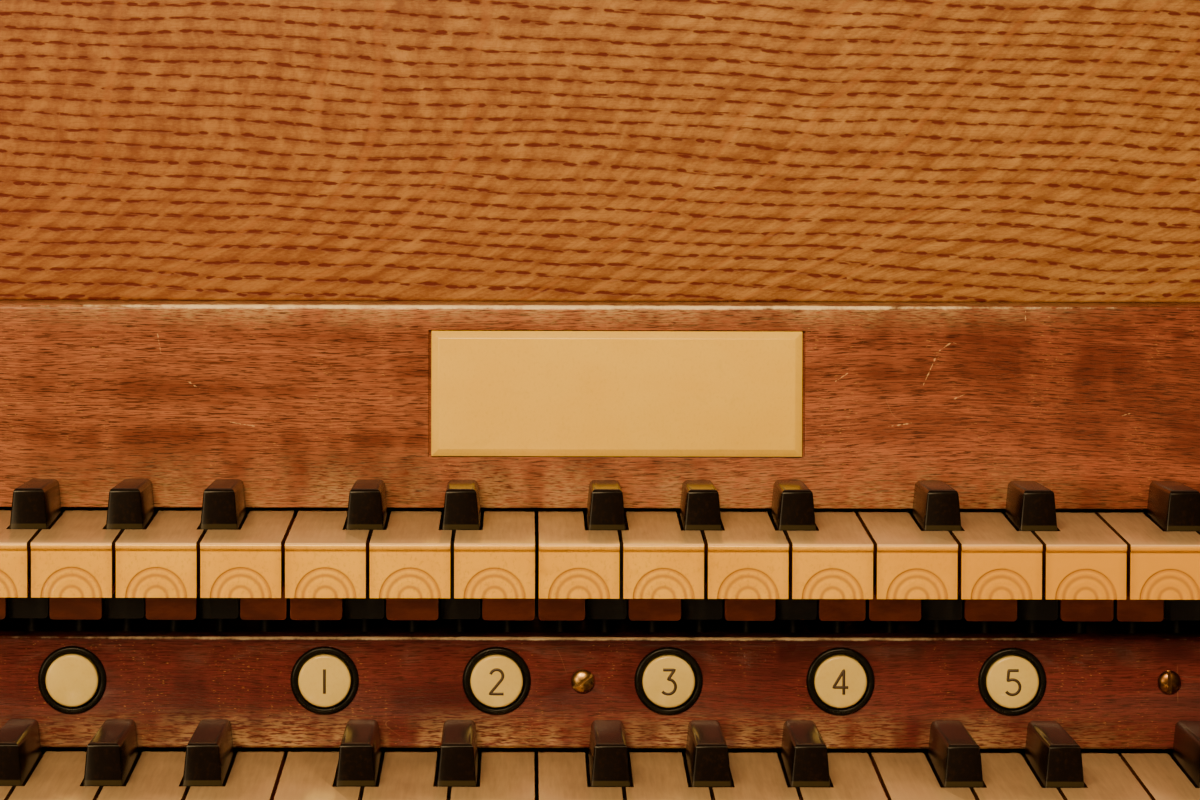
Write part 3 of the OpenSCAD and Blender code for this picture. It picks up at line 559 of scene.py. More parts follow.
# Naturals are numbered from the lowest C. These name the sharp beside each one in an octave.
SHARP_ON_RIGHT = (0, 1, None, 2, 3, 4, None)
SHARP_ON_LEFT = (None, 0, 1, None, 2, 3, 4)
SHARP_PLACE = (0.131, 0.297, 0.55, 0.716, 0.879)
LETTERS = "cdefgab"
LAST_NATURAL = 35
FIRST_FREE = 10
LAST_FREE = 24
LOWER = (LOWER_NOSE_Y, LOWER_TOP_Z, LOWER_REACH)
UPPER = (NOSE_Y, TOP_Z, UPPER_REACH)
SAME_PLACE = 1e-6
CREST_ANGLE = 0.8


def natural_x(n):
    return n * PITCH_NATURAL - COMPASS / 2


def sharp_x(n):
    return (n // 7 + SHARP_PLACE[SHARP_ON_RIGHT[n % 7]]) * OCTAVE - COMPASS / 2


def head_sides(n):
    return natural_x(n) + KEY_GAP / 2, natural_x(n + 1) - KEY_GAP / 2


def tail_sides(n):
    left, right = head_sides(n)
    if n > 0 and SHARP_ON_LEFT[n % 7] is not None:
        left = sharp_x(n - 1) + SHARP_WIDTH / 2 + SHARP_GAP
    if n < LAST_NATURAL and SHARP_ON_RIGHT[n % 7] is not None:
        right = sharp_x(n) - SHARP_WIDTH / 2 - SHARP_GAP
    return left, right


def vertices_of(made):
    return [g for g in made["geom"] if isinstance(g, bmesh.types.BMVert)]


def edges_since(bm, known):
    """The edges at every vertex that isn't among the known ones."""
    return {e for v in bm.verts if v not in known for e in v.link_edges}


def faces_since(bm, known):
    return [f for f in bm.faces if f not in known]


def open_edges(bm, known):
    """The edges at which the faces that aren't among the known ones still end."""
    return [e for e in {e for f in faces_since(bm, known) for e in f.edges} if e.is_boundary]


def keeps(edge, axis, value=None):
    """Whether an edge keeps to one coordinate on an axis, and to this value if one is given."""
    first, last = (getattr(v.co, axis) for v in edge.verts)
    return abs(first - last) < SAME_PLACE and (value is None or abs(first - value) < SAME_PLACE)


def prism(bm, corners, offset):
    """Adds the solid that an outline sweeps along an offset, and gives back its edges."""
    known = set(bm.verts)
    face = bm.faces.new([bm.verts.new(c) for c in corners])
    grown = bmesh.ops.extrude_face_region(bm, geom=[face])
    bmesh.ops.translate(bm, vec=offset, verts=vertices_of(grown))
    edges = edges_since(bm, known)
    bmesh.ops.recalc_face_normals(bm, faces=list({f for e in edges for f in e.link_faces}))
    return edges


def bone_plate(bm, n, nose_y, top, reach):
    """The thin plate in one piece with its tail, its nose rounded and its other edges just broken."""
    left, right = head_sides(n)
    tail_left, tail_right = tail_sides(n)
    head_y, tail_y = nose_y + HEAD_LENGTH, nose_y + reach + PLATE_TUCK
    outline = [(left, nose_y), (right, nose_y), (right, head_y)]
    if tail_right < right:
        outline += [(tail_right, head_y)]
    outline += [(tail_right, tail_y), (tail_left, tail_y)]
    if tail_left > left:
        outline += [(tail_left, head_y), (left, head_y)]
    known = set(bm.verts)
    edges = prism(bm, [(x, y, top - PLATE) for x, y in outline], (0.0, 0.0, PLATE))
    rounded(bm, [e for e in edges if keeps(e, "y", nose_y) and keeps(e, "z")], NOSE_ROUNDING, 4)
    crest = [e for e in edges_since(bm, known) if keeps(e, "z", top) and e.calc_face_angle(0.0) > CREST_ANGLE]
    rounded(bm, crest, BONE_EDGE, 2)


ARCADE_RADIUS = 8.6 * MM
ARCADE = ((0.00, 0.06), (0.12, 0.08), (0.21, 0.17), (0.29, 0.32), (0.36, 0.38), (0.42, 0.32), (0.49, 0.20),
          (0.56, 0.14), (0.62, 0.19), (0.68, 0.32), (0.73, 0.36), (0.78, 0.27), (0.83, 0.15), (0.88, 0.17),
          (0.925, 0.28), (0.96, 0.30), (0.985, 0.16), (1.00, 0.0))
ARCADE_STEPS = 20
ARCADE_GROOVES = (3.1 * MM, 6.2 * MM, 8.2 * MM)


def turned_front(bm, n, nose_y, top):
    """The bone front: the half-round arcade is spun, the face round it filled and its sides drawn back."""
    left, right = head_sides(n)
    middle, foot, head = (left + right) / 2, top - FRONT_HEIGHT, top - PLATE
    face_y, back_y = nose_y + LIP, nose_y + LIP + FRONT_THICKNESS
    known = set(bm.faces)
    radius = [bm.verts.new((middle + r * ARCADE_RADIUS, face_y + deep * MM, foot)) for r, deep in ARCADE]
    line = [bm.edges.new(pair) for pair in zip(radius, radius[1:])]
    bmesh.ops.spin(bm, geom=radius + line, cent=(middle, face_y, foot), axis=(0.0, -1.0, 0.0),
                   dvec=(0, 0, 0), angle=math.pi, steps=ARCADE_STEPS, use_merge=False,
                   use_normal_flip=False, use_duplicate=False)
    doubled = {v for f in faces_since(bm, known) for v in f.verts}
    bmesh.ops.remove_doubles(bm, verts=list(doubled), dist=SAME_PLACE)
    rim = {v for f in faces_since(bm, known) for v in f.verts
           if abs(math.hypot(v.co.x - middle, v.co.z - foot) - ARCADE_RADIUS) < SAME_PLACE}
    corners = [bm.verts.new((x, face_y, z))
               for x, z in ((left, foot), (left, head), (right, head), (right, foot))]
    bm.faces.new(corners + sorted(rim, key=lambda v: -v.co.x))
    bmesh.ops.recalc_face_normals(bm, faces=faces_since(bm, known))
    drawn = bmesh.ops.extrude_edge_only(bm, edges=open_edges(bm, known))
    for v in vertices_of(drawn):
        v.co.y = back_y
    bmesh.ops.holes_fill(bm, edges=open_edges(bm, known), sides=0)
    bmesh.ops.recalc_face_normals(bm, faces=faces_since(bm, known))


def wooden_lever(bm, left, right, outline, rounding=1.0 * MM):
    """A lever sawn from an outline in Y and Z, with its two lower edges rounded."""
    edges = prism(bm, [(left, y, z) for y, z in outline], (right - left, 0.0, 0.0))
    low = min(z for _, z in outline)
    rounded(bm, [e for e in edges if keeps(e, "z", low) and keeps(e, "x")], rounding, 3)


def natural_wood(bm, n, nose_y, top, reach):
    """The wooden core of the head, and the lever that runs back under the bone to the tail."""
    left, right = head_sides(n)
    foot, under_bone = top - FRONT_HEIGHT, top - PLATE
    core_y, head_y, core_foot = nose_y + LIP + FRONT_THICKNESS, nose_y + HEAD_LENGTH, foot + CORE_SHRINK
    wooden_lever(bm, left + CORE_SHRINK, right - CORE_SHRINK, [
        (core_y, core_foot), (head_y, core_foot), (head_y, under_bone), (core_y, under_bone)], CORE_ROUNDING)
    end_y, start_y, bone_y = nose_y + KEY_LENGTH, nose_y + LEVER_START, nose_y + reach + PLATE_TUCK
    wooden_lever(bm, *tail_sides(n), [
        (start_y, top - LEVER_DEPTH), (end_y, top - LEVER_DEPTH), (end_y, top - WOOD_DROP),
        (bone_y, top - WOOD_DROP), (bone_y, under_bone), (head_y, under_bone), (head_y, foot),
        (start_y, foot)])


def groove_dirt_and_edge_shade(t, here):
    """Brown dirt in the three grooves of the arcades, which come again from key to key, and painted shade
    along the side edges of each front.
    """
    spot = split(t, here)
    aside = maths(t, "PINGPONG", plus(t, spot["X"], PITCH_NATURAL / 2), PITCH_NATURAL / 2)
    dirt = 0.0
    for manual_top in (TOP_Z, LOWER_TOP_Z):
        up = minus(t, spot["Z"], manual_top - FRONT_HEIGHT)
        out = maths(t, "SQRT", plus(t, times(t, aside, aside), times(t, up, up)))
        for groove in ARCADE_GROOVES:
            away = apart(t, out, groove)
            dirt = larger(t, dirt, inverse(t, rising(t, away, 0.05 * MM, 0.85 * MM)))
    # The side edges of each front are painted darker: painted shade beside the gaps.
    edge = rising(t, aside, PITCH_NATURAL / 2 - 3.2 * MM, PITCH_NATURAL / 2 - 0.5 * MM)
    dirt = larger(t, dirt, times(t, edge, 0.35))
    return times(t, dirt, maths(t, "LESS_THAN", facing(t)["Y"], -0.5))


BONE_STAIN = (0.42, 0.18, 0.035, 1.0)
TOP_SHEEN_BONE = (0.95, 0.70, 0.46, 1.0)
RIGHT_SHADE_BONE = (0.80, 0.39, 0.014, 1.0)
JOINT_SHADE = (0.085, 0.028, 0.008, 1.0)


def bone(name, pale, deep, old, rough=0.06, grooved=False):
    """Old bone, cream and a little uneven, with short dark canals and fine scratches along its length. On the
    keys, dirt lies in the grooves; painted shade darkens the edges of the fronts, the sides and the keys to
    the right, and a painted sheen pales the tops.
    """
    made, t, here = new_material(name)
    cloud = noise(t, here, (40.0, 22.0, 60.0), 3.0, 0.6)
    canals = noise(t, here, (1300.0, 14.0, 900.0), 2.0, 0.6)
    brushed = noise(t, here, (900.0, 30.0, 300.0), 3.0, 0.6)
    stain = noise(t, here, (140.0, 90.0, 170.0), 3.0, 0.65)
    colour = mixed(t, rising(t, cloud, 0.3, 0.7), deep, pale)
    colour = mixed(t, times(t, rising(t, canals, 0.50, 0.74), 0.10 + 0.5 * old), colour, BONE_STAIN)
    colour = mixed(t, times(t, rising(t, stain, 0.58, 0.80), 0.10 + 0.3 * old), colour, BONE_STAIN)
    if grooved:
        # Keys towards the right are painted darker and deeper orange: painted shade where less light falls.
        across = rising(t, split(t, here)["X"], 0.0, 0.17)
        colour = mixed(t, across, colour, RIGHT_SHADE_BONE)
        colour = mixed(t, times(t, groove_dirt_and_edge_shade(t, here), 0.70), colour, BONE_STAIN)
        normal = facing(t)
        # Upward faces are painted paler: a painted sheen standing in for what the tops reflect.
        colour = mixed(t, times(t, rising(t, normal["Z"], 0.3, 0.9), 0.85), colour, TOP_SHEEN_BONE)
        # Faces that look sideways into the gaps between keys are painted dark: painted shade.
        side_shade = rising(t, maths(t, "ABSOLUTE", normal["X"]), 0.6, 0.95)
        colour = mixed(t, times(t, side_shade, 0.9), colour, JOINT_SHADE)
    gloss = scaled(t, brushed, 0.12, scaled(t, cloud, 0.08, rough))
    surface(t, colour, gloss, {"Specular IOR Level": 0.4})
    return made


key_bone = bone("key_bone", (0.92, 0.53, 0.028, 1.0), (0.84, 0.45, 0.018, 1.0), 0.35, grooved=True)
lever_wood = plain_wood("lever_wood", (0.42, 0.080, 0.014, 1.0), (0.26, 0.043, 0.008, 1.0),
                        (0.0, 0.0, QUARTER_TURN), 0.5)


def natural_pieces(name, numbers, manual, body="keydesk"):
    """The bone and the wood of one natural, or of a row of naturals that share a node."""
    nose_y, top, reach = manual
    covering = bmesh.new()
    timber = bmesh.new()
    for n in numbers:
        bone_plate(covering, n, nose_y, top, reach)
        turned_front(covering, n, nose_y, top)
        natural_wood(timber, n, nose_y, top, reach)
    for kind, bm, material in (("bone", covering, key_bone), ("wood", timber, lever_wood)):
        piece = f"{name}_{kind}"
        add_piece(piece, finished(bm, piece, 34.0), material, body, "bone_key", name)


natural_pieces("lower_naturals", range(LAST_NATURAL + 1), LOWER)
natural_pieces("bass_naturals", range(FIRST_FREE), UPPER)
natural_pieces("treble_naturals", range(LAST_FREE + 1, LAST_NATURAL + 1), UPPER)
for n in range(FIRST_FREE, LAST_FREE + 1):
    key = f"key_{LETTERS[n % 7]}{n // 7 + 2}"
    natural_pieces(key, [n], UPPER, key)


# A sharp is a lever, stained black, with a block of ebony glued on it. The block leans in at its sides,
# falls a little towards the back, and its top edges are worn round. Its foot shows paler in front, and its
# upward faces are painted lighter brown: a painted reflection.
SHARP_TOP_WIDTH = 8.8 * MM
SHARP_FRONT_HEIGHT = 11.6 * MM
SHARP_BACK_HEIGHT = 9.6 * MM
SHARP_FRONT = HEAD_LENGTH + 1.2 * MM
EBONY_FOOT = 3.3 * MM
PALE_FOOT = 1.5 * MM
SHARP_RAKE = 1.3 * MM
RIDGE_ROUNDING = 1.5 * MM
FRONT_ROUNDING = 0.6 * MM
SHARP_SHORT = 1.0 * MM
EBONY_DARK = (0.005, 0.003, 0.002, 1.0)
EBONY_BROWN = (0.012, 0.006, 0.003, 1.0)
EBONY_TOP_REFLECTION = (0.046, 0.031, 0.034, 1.0)
EBONY_PALE = (0.038, 0.029, 0.012, 1.0)


def ebony_block(bm, x, front, back, top):
    """A block tapered by moving the top corners of a cube, then rounded along its top and front."""
    known = set(bm.verts)
    made = bmesh.ops.create_cube(bm, size=1.0)
    for v in made["verts"]:
        upper, rear = v.co.z > 0, v.co.y > 0
        width = SHARP_TOP_WIDTH if upper else SHARP_WIDTH
        height = (SHARP_BACK_HEIGHT if rear else SHARP_FRONT_HEIGHT) if upper else -EBONY_FOOT
        lean = SHARP_RAKE if upper and not rear else 0.0
        v.co = (x + math.copysign(width / 2, v.co.x), (back if rear else front) + lean, top + height)
    ridge = [e for e in edges_since(bm, known) if all(v.co.z > top + MM for v in e.verts)
             and min(v.co.y for v in e.verts) < back - MM]
    rounded(bm, ridge, RIDGE_ROUNDING, 4)
    upright = [e for e in edges_since(bm, known) if all(v.co.y < front + 2.2 * MM for v in e.verts)
               and abs(e.verts[0].co.z - e.verts[1].co.z) > 6 * MM]
    rounded(bm, upright, FRONT_ROUNDING, 2)


ebony, t, here = new_material("ebony")
ebony_grain = noise(t, here, (900.0, 60.0, 900.0), 3.0, 0.6)
ebony_wear = noise(t, here, (70.0, 40.0, 70.0), 2.0)
ebony_colour = mixed(t, rising(t, ebony_grain, 0.48, 0.75), EBONY_DARK, EBONY_BROWN)
ebony_height = split(t, here)["Z"]
normal = facing(t)
foot_mask = 0.0
for manual_top in (TOP_Z, LOWER_TOP_Z):
    above = apart(t, ebony_height, manual_top + PALE_FOOT / 2)
    foot_mask = larger(t, foot_mask, inverse(t, rising(t, above, PALE_FOOT * 0.35, PALE_FOOT * 0.6)))
foot_mask = times(t, foot_mask, maths(t, "LESS_THAN", normal["Y"], -0.9))
# Upward faces are painted lighter brown: a painted reflection of the wood and bone around them.
ebony_colour = mixed(t, times(t, rising(t, normal["Z"], 0.6, 0.97), 0.85), ebony_colour, EBONY_TOP_REFLECTION)
ebony_colour = mixed(t, times(t, foot_mask, 0.8), ebony_colour, EBONY_PALE)
surface(t, ebony_colour, scaled(t, ebony_wear, 0.12, 0.16), {"Specular IOR Level": 0.10})
black_wood = plain_wood("black_wood", (0.012, 0.008, 0.005, 1.0), (0.006, 0.004, 0.003, 1.0),
                        (0.0, 0.0, QUARTER_TURN), 0.6)


def sharp_pieces(name, numbers, manual, body="keydesk"):
    """The ebony and the wood of one sharp, or of a row of sharps that share a node."""
    nose_y, top, reach = manual
    start_y, end_y, glue_y = nose_y + SHARP_FRONT, nose_y + KEY_LENGTH, nose_y + (reach - SHARP_SHORT)
    blocks = bmesh.new()
    timber = bmesh.new()
    for x in map(sharp_x, numbers):
        ebony_block(blocks, x, start_y, glue_y, top)
        wooden_lever(timber, x - SHARP_WIDTH / 2, x + SHARP_WIDTH / 2, [
            (start_y, top - LEVER_DEPTH), (end_y, top - LEVER_DEPTH), (end_y, top - WOOD_DROP),
            (glue_y, top - WOOD_DROP), (glue_y, top - EBONY_FOOT), (start_y, top - EBONY_FOOT)])
    for kind, bm, material in (("ebony", blocks, ebony), ("wood", timber, black_wood)):
        piece = f"{name}_{kind}"
        add_piece(piece, finished(bm, piece, 38.0), material, body, "ebony_key", name)


def sharps_after(first, last):
    return [n for n in range(first, last + 1) if n < LAST_NATURAL and SHARP_ON_RIGHT[n % 7] is not None]


sharp_pieces("lower_sharps", sharps_after(0, LAST_NATURAL), LOWER)
sharp_pieces("bass_sharps", sharps_after(0, FIRST_FREE - 1), UPPER)
sharp_pieces("treble_sharps", sharps_after(LAST_FREE, LAST_NATURAL), UPPER)
for n in sharps_after(FIRST_FREE, LAST_FREE - 1):
    key = f"key_{LETTERS[n % 7]}_sharp{n // 7 + 2}"
    sharp_pieces(key, [n], UPPER, key)


# The piston rail is a darker red mahogany bar between the manuals. Its top arris is rubbed by the players'
# fingers and painted bright as a highlight, widest in the middle, and near its foot a painted golden glow
# stands in for light reflected from the keys below. It is held by round-headed brass screws.
RAIL_LOW, RAIL_HIGH = (Vector(corner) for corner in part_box("piston_rail"))


def rubbed_and_highlit_top(face_y, top_z, reach):
    """Makes the mask of an arris rubbed through its polish and painted bright as a highlight, patchy along
    its length and widest in the middle, where the painted light is strongest.
    """
    def mask(t, here):
        spot = split(t, here)
        patchy = noise(t, here, (190.0, 200.0, 200.0), 4.0, 0.7)
        aside = apart(t, spot["X"], MIDDLE_X)
        centre = inverse(t, rising(t, aside, 0.07, 0.18))
        down = minus(t, top_z, spot["Z"])
        back = minus(t, spot["Y"], face_y)
        away = plus(t, maths(t, "ABSOLUTE", down), maths(t, "ABSOLUTE", back))
        ragged = scaled(t, minus(t, patchy, 0.5), reach * 1.1, scaled(t, centre, -0.5 * reach, away))
        return times(t, inverse(t, rising(t, ragged, reach * 0.6, reach * 1.1)), 0.95)
    return mask


RAIL_LIGHT = (0.1415, 0.0254, 0.0225, 1.0)
RAIL_DARK = (0.052, 0.0083, 0.009, 1.0)
RAIL_RUBBED_HIGHLIGHT = 0.65 * MM
RAIL_PAINTED_GLOW = 13.0 * MM
rail_mahogany = mahogany("mahogany_rail", RAIL_LIGHT, RAIL_DARK, place=(0.6, 0.1, 0.2), scratches=0.15,
                         worn=rubbed_and_highlit_top(RAIL_LOW.y, RAIL_HIGH.z, RAIL_RUBBED_HIGHLIGHT),
                         painted_glow=[(RAIL_LOW.z, RAIL_LOW.z + RAIL_PAINTED_GLOW, 0.62)])
eased_board("piston_rail", rail_mahogany, "rail_mahogany", 0.0003, 2)


# Each piston is an ivory-coloured button in a black turned ring let into the rail. Five carry a plain
# engraved numeral filled with dark wax, and the one at the far left is bare.
PISTON_NODES = ("piston_plain", "piston_1", "piston_2", "piston_3", "piston_4", "piston_5")
TURNED_STEPS = 72


def turned_about_y(name, profile, place, material, body, slot, *replaced):
    """Spins a profile of radius and distance out of the rail about an axis along Y, and closes it."""
    bm = bmesh.new()
    x, y, z = place
    line = [bm.verts.new((x + r, y - out, z)) for r, out in profile]
    edges = [bm.edges.new(pair) for pair in zip(line, line[1:])]
    if profile[0][0] > 0:
        edges.append(bm.edges.new((line[-1], line[0])))
    bmesh.ops.spin(bm, geom=line + edges, cent=place, axis=(0.0, 1.0, 0.0), dvec=(0, 0, 0), angle=math.tau,
                   steps=TURNED_STEPS, use_merge=True, use_normal_flip=False, use_duplicate=False)
    bmesh.ops.remove_doubles(bm, verts=bm.verts[:], dist=1e-7)
    bmesh.ops.recalc_face_normals(bm, faces=bm.faces[:])
    return add_piece(name, finished(bm, name, 32.0), material, body, slot, *replaced)


black_ring, t, here = new_material("black_ring")
ring_dust = noise(t, here, 420.0, 3.0, 0.6)
ring_colour = mixed(t, ring_dust, (0.003, 0.003, 0.002, 1.0), (0.007, 0.006, 0.004, 1.0))
surface(t, ring_colour, scaled(t, ring_dust, 0.22, 0.14), {"Specular IOR Level": 0.14})
piston_ivory = bone("piston_ivory", (0.68, 0.55, 0.19, 1.0), (0.62, 0.48, 0.15, 1.0), 0.0)

dark_wax, t, here = new_material("dark_wax")
wax_grain = noise(t, here, 2500.0, 2.0)
surface(t, mixed(t, wax_grain, (0.020, 0.010, 0.004, 1.0), (0.050, 0.026, 0.010, 1.0)), 0.5)

PISTON_RADIUS = 7.4 * MM
RING_RADIUS = 9.6 * MM
RING_BORE = 7.65 * MM
PISTON_DOME = 0.6 * MM
PISTON_EDGE = 0.8 * MM
PISTON_FLAT = PISTON_RADIUS - PISTON_EDGE
RING_DEPTH = 5.0 * MM
STEM_RADIUS = 3.0 * MM
HEAD_DEPTH = 6.0 * MM


def arc_points(x, z, radius, start, end, steps):
    angles = [math.radians(start + (end - start) * i / steps) for i in range(steps + 1)]
    return [(x + radius * math.cos(a), z + radius * math.sin(a)) for a in angles]


NUMERALS = {
    "piston_1": [[(0.0, 3.4), (0.0, -3.4)]],
    "piston_2": [arc_points(0.0, 1.65, 1.75, 165, -38, 16) + [(-1.85, -3.4), (1.95, -3.4)]],
    "piston_3": [[(-1.6, 3.4), (1.6, 3.4), (-0.15, 0.8)] + arc_points(-0.2, -1.3, 2.1, 84, -140, 16)],
    "piston_4": [[(0.8, -3.4), (0.8, 3.4), (-2.05, -1.4), (2.05, -1.4)]],
    "piston_5": [[(1.6, 3.4), (-1.2, 3.4), (-1.45, 0.6)] + arc_points(-0.15, -1.25, 2.1, 118, -145, 18)],
}
WAX_RADIUS = 0.56 * MM
WAX_PROUD = 0.22 * MM
WAX_STEP = 0.25


def close_points(stroke):
    """Adds points along a stroke, so that it follows the dome of the piston."""
    points = [stroke[0]]
    for start, end in zip(stroke, stroke[1:]):
        steps = max(1, round(math.dist(start, end) / WAX_STEP))
        points += [(start[0] + (end[0] - start[0]) * k / steps, start[1] + (end[1] - start[1]) * k / steps)
                   for k in range(1, steps + 1)]
    return points


for name in PISTON_NODES:
    low, high = (Vector(corner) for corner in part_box(name))
    axis_x, axis_z, face_out = (low.x + high.x) / 2, (low.z + high.z) / 2, RAIL_LOW.y - low.y
    stem_out = RAIL_LOW.y - high.y
    place = (axis_x, RAIL_LOW.y, axis_z)
    dome = [(PISTON_FLAT * k / 8, face_out - PISTON_DOME * (k / 8) ** 2) for k in range(8)]
    shoulder = arc_points(PISTON_FLAT, face_out - PISTON_DOME - PISTON_EDGE, PISTON_EDGE, 90, 0, 6)
    turned_about_y(name + "_button", dome + shoulder + [
        (PISTON_RADIUS, -HEAD_DEPTH), (STEM_RADIUS, -HEAD_DEPTH), (STEM_RADIUS, stem_out), (0.0, stem_out)],
        place, piston_ivory, name, "ivory_piston", name)
    ring_lip = arc_points((RING_RADIUS + RING_BORE) / 2, 0.15 * MM, (RING_RADIUS - RING_BORE) / 2, 8, 172, 10)
    turned_about_y(name + "_ring", [(RING_BORE, -RING_DEPTH), (RING_RADIUS, -RING_DEPTH)] + [
        (r, out * 0.8) for r, out in ring_lip], place, black_ring, "keydesk", "black_ring", "piston_bezels")
    for number, stroke in enumerate(NUMERALS.get(name, [])):
        curve = bpy.data.curves.new(f"{name}_numeral", "CURVE")
        curve.dimensions = "3D"
        curve.bevel_depth = WAX_RADIUS
        curve.bevel_resolution = 2
        curve.use_fill_caps = True
        line = curve.splines.new("POLY")
        stroke_points = close_points(stroke)
        line.points.add(len(stroke_points) - 1)
        for point, (across, up) in zip(line.points, stroke_points):
            out = math.hypot(across, up) * MM / PISTON_FLAT
            sunk = low.y + PISTON_DOME * out ** 2 + WAX_RADIUS - WAX_PROUD
            point.co = (axis_x + across * MM, sunk, axis_z + up * MM, 1.0)
        holder = bpy.data.objects.new("numeral_curve", curve)
        bpy.context.collection.objects.link(holder)
        bpy.context.view_layer.update()
        depsgraph = bpy.context.evaluated_depsgraph_get()
        wax_mesh = bpy.data.meshes.new_from_object(holder.evaluated_get(depsgraph))
        bpy.data.objects.remove(holder)
        smooth_by_angle(wax_mesh, 60.0)
        add_piece(f"{name}_numeral", wax_mesh, dark_wax, name, "ivory_piston")


# The rail's five screws are slotted brass with domed heads, dulled by handling. Each was left turned
# its own way, and those at the right are painted dark brown: painted shade where less light reaches them.
BRASS_BRIGHT = (0.48, 0.30, 0.11, 1.0)
BRASS_DULL = (0.18, 0.10, 0.04, 1.0)
BRASS_RIGHT_SHADE = (0.10, 0.035, 0.012, 1.0)
aged_brass, t, here = new_material("aged_brass")
tarnish = noise(t, here, 700.0, 4.0, 0.65)
brass_colour = mixed(t, rising(t, tarnish, 0.35, 0.7), BRASS_BRIGHT, BRASS_DULL)
brass_x = split(t, here)["X"]
# Screws towards the right are painted dark brown: painted shade.
brass_colour = mixed(t, times(t, rising(t, brass_x, 0.05, 0.12), 0.8), brass_colour, BRASS_RIGHT_SHADE)
surface(t, brass_colour, scaled(t, tarnish, 0.4, 0.12), {"Metallic": 1.0})
SCREW_RADIUS = 3.3 * MM
SCREW_HEIGHT = 2.0 * MM
SCREW_RIM = 0.4 * MM
SHANK_RADIUS = 2.0 * MM
SHANK_LENGTH = 24.6 * MM
SLOT_WIDTH = 0.9 * MM
SLOT_FLOOR = 0.7 * MM
SCREW_PLACES = [x * MM for x in (-340.5, -198.3, -10.5, 154.7, 340.5)]
SLOT_ANGLES = (20, 70, -35, 86, 60)


def cut_slot(mesh, centre, degrees):
    """Cuts the head along two planes, and sinks the strip between them to the floor of the slot."""
    bm = bmesh.new()
    bm.from_mesh(mesh)
    across = Matrix.Rotation(math.radians(degrees), 3, "Y") @ Vector((0.0, 0.0, 1.0))
    for side in (-0.5, 0.5):
        bmesh.ops.bisect_plane(bm, geom=bm.verts[:] + bm.edges[:] + bm.faces[:], dist=1e-7,
                               plane_co=centre + across * side * SLOT_WIDTH, plane_no=across)
    strip = [f for f in bm.faces if abs((f.calc_center_median() - centre).dot(across)) < SLOT_WIDTH / 2
             and centre.y - f.calc_center_median().y > SCREW_RIM]
    sunk = bmesh.ops.extrude_face_region(bm, geom=strip)
    bmesh.ops.delete(bm, geom=strip, context="FACES")
    for v in vertices_of(sunk):
        v.co.y = max(v.co.y, centre.y - SLOT_FLOOR)
    bmesh.ops.remove_doubles(bm, verts=bm.verts[:], dist=SAME_PLACE)
    bmesh.ops.recalc_face_normals(bm, faces=bm.faces[:])
    bm.to_mesh(mesh)
    bm.free()


screw_z = (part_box("rail_screws")[0][2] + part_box("rail_screws")[1][2]) / 2
for number, (place_x, angle) in enumerate(zip(SCREW_PLACES, SLOT_ANGLES)):
    cap = [(SCREW_RADIUS * math.sin(a), SCREW_RIM + (SCREW_HEIGHT - SCREW_RIM) * math.cos(a))
           for a in map(math.radians, range(0, 91, 9))]
    centre = Vector((place_x, RAIL_LOW.y, screw_z))
    screw = turned_about_y(f"rail_screw_{number + 1}", cap + [
        (SCREW_RADIUS, 0.0), (SHANK_RADIUS, 0.0), (SHANK_RADIUS, -SHANK_LENGTH), (0.0, -SHANK_LENGTH)],
        tuple(centre), aged_brass, "keydesk", "brass", "rail_screws")
    cut_slot(screw.data, centre, angle)
    smooth_by_angle(screw.data, 32.0)


# The nameboard is a lighter mahogany board over the upper keys' tails. Its top arris is rubbed and painted
# bright as a highlight, painted golden glows near its foot and below its top stand in for reflected light,
# and towards the right it is painted darker as shade. A bare bone plate with bevelled edges is let into its
# middle.
BOARD_LOW, BOARD_HIGH = (Vector(corner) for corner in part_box("nameboard"))
BOARD_LIGHT = (0.4198, 0.1582, 0.0827, 1.0)
BOARD_DARK = (0.1564, 0.0396, 0.0188, 1.0)
BOARD_SHADE_LIGHT = (0.3457, 0.1037, 0.0565, 1.0)
BOARD_SHADE_DARK = (0.1104, 0.0221, 0.0116, 1.0)
BOARD_RUBBED_HIGHLIGHT = 0.85 * MM
BOARD_PAINTED_GLOW_LOW = 21.0 * MM
BOARD_PAINTED_GLOW_HIGH = 9.0 * MM
BOARD_SCRATCHES = (
    ((94.4, 180.9), (98.3, 183.6)), ((98.3, 183.6), (99.5, 183.2)), ((89.9, 170.9), (93.8, 179.7)),
    ((98.5, 166.7), (102.7, 168.5)), ((79.6, 158.7), (86.7, 159.8)), ((64.2, 172.0), (67.8, 174.4)),
    ((119.8, 189.2), (119.8, 192.7)), ((148.2, 162.0), (151.2, 162.9)), ((-126.6, 172.0), (-121.6, 169.1)),
    ((-113.3, 159.6), (-105.6, 158.4)), ((-134.6, 185.4), (-133.7, 180.0)))
board_mahogany = mahogany("mahogany_nameboard", BOARD_LIGHT, BOARD_DARK, place=(0.0, 0.3, 0.0),
                          scratches=0.12, worn=rubbed_and_highlit_top(BOARD_LOW.y, BOARD_HIGH.z, BOARD_RUBBED_HIGHLIGHT),
                          painted_glow=[(BOARD_LOW.z, BOARD_LOW.z + BOARD_PAINTED_GLOW_LOW, 0.54),
                                  (BOARD_HIGH.z, BOARD_HIGH.z - BOARD_PAINTED_GLOW_HIGH, 0.70)],
                          shade_right=(BOARD_SHADE_LIGHT, BOARD_SHADE_DARK),
                          scored=[[(x * MM, 0.0, z * MM) for x, z in ends] for ends in BOARD_SCRATCHES])
eased_board("nameboard", board_mahogany, "mahogany", 0.0003, 2)

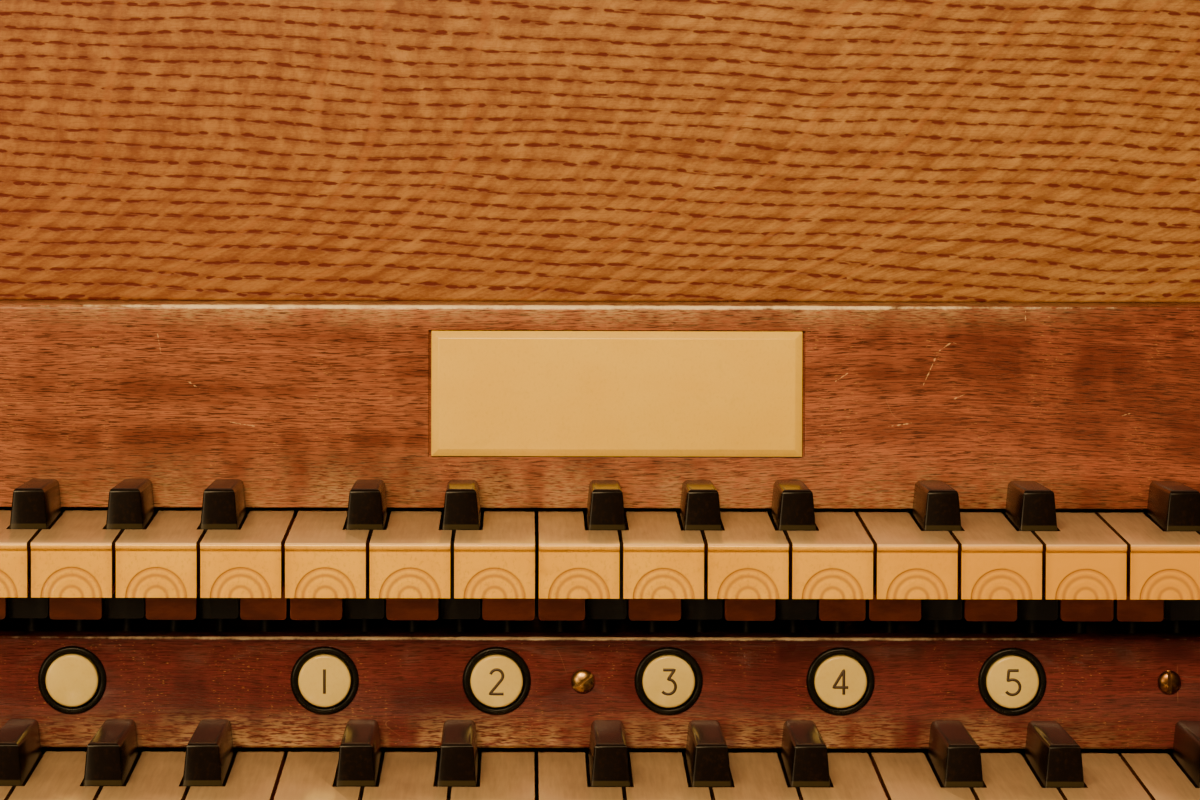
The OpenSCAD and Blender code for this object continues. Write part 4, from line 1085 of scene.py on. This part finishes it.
PLATE_LOW, PLATE_HIGH = (Vector(corner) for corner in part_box("nameboard_plate"))
PLATE_BEVEL = 2.2 * MM
PLATE_EDGE = 1.2 * MM
PLATE_ROUNDING = 0.15 * MM
plate_bm = bmesh.new()
bmesh.ops.create_cube(plate_bm, size=1.0)
size = PLATE_HIGH - PLATE_LOW
bmesh.ops.scale(plate_bm, vec=(size.x, size.y - PLATE_EDGE, size.z), verts=plate_bm.verts[:])
centre = (PLATE_LOW + PLATE_HIGH) / 2 + Vector((0, PLATE_EDGE / 2, 0))
bmesh.ops.translate(plate_bm, vec=centre, verts=plate_bm.verts[:])
plate_bm.faces.ensure_lookup_table()
face = min(plate_bm.faces, key=lambda f: f.calc_center_median().y)
bmesh.ops.inset_region(plate_bm, faces=[face], thickness=PLATE_BEVEL, depth=0.0, use_even_offset=True)
bmesh.ops.translate(plate_bm, vec=(0, -PLATE_EDGE, 0), verts=face.verts[:])
rounded(plate_bm, [e for e in plate_bm.edges if e.calc_face_angle(0.0) > 0.3], PLATE_ROUNDING, 2)
plate_bone = bone("plate_bone", (0.93, 0.63, 0.085, 1.0), (0.90, 0.58, 0.065, 1.0), 0.0, 0.14)
add_piece("nameboard_plate_bone", finished(plate_bm, "nameboard_plate_bone", 18.0), plate_bone, "keydesk",
          "bone_plate", "nameboard_plate")


# Behind the nameboard an oak board closes the top, and a framed one with three sunk panels the back.
# The music desk stands on the top board, leaning back against two oak brackets.
eased_board("top_board", flat_oak, "oak", 0.001)
back_oak = oak("oak_back", (0.0, 0.0, 0.0), (0.05, 0.0, -0.12))
eased_board("back_board", back_oak, "oak", 0.001, 2)
DESK_LEAN = math.radians(10.0)
desk_foot = Vector(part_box("music_desk")[0])
foot_along = desk_foot.y * math.sin(DESK_LEAN) + desk_foot.z * math.cos(DESK_LEAN)
foot_behind = desk_foot.y * math.cos(DESK_LEAN) - desk_foot.z * math.sin(DESK_LEAN)
desk_oak = oak("oak_music_desk", (DESK_LEAN, 0.0, 0.0), (0.0, -foot_behind, -foot_along))
eased_board("music_desk", desk_oak, "oak", 0.001, 3)
eased_board("desk_brackets", side_oak, "oak", 0.0012, 2)
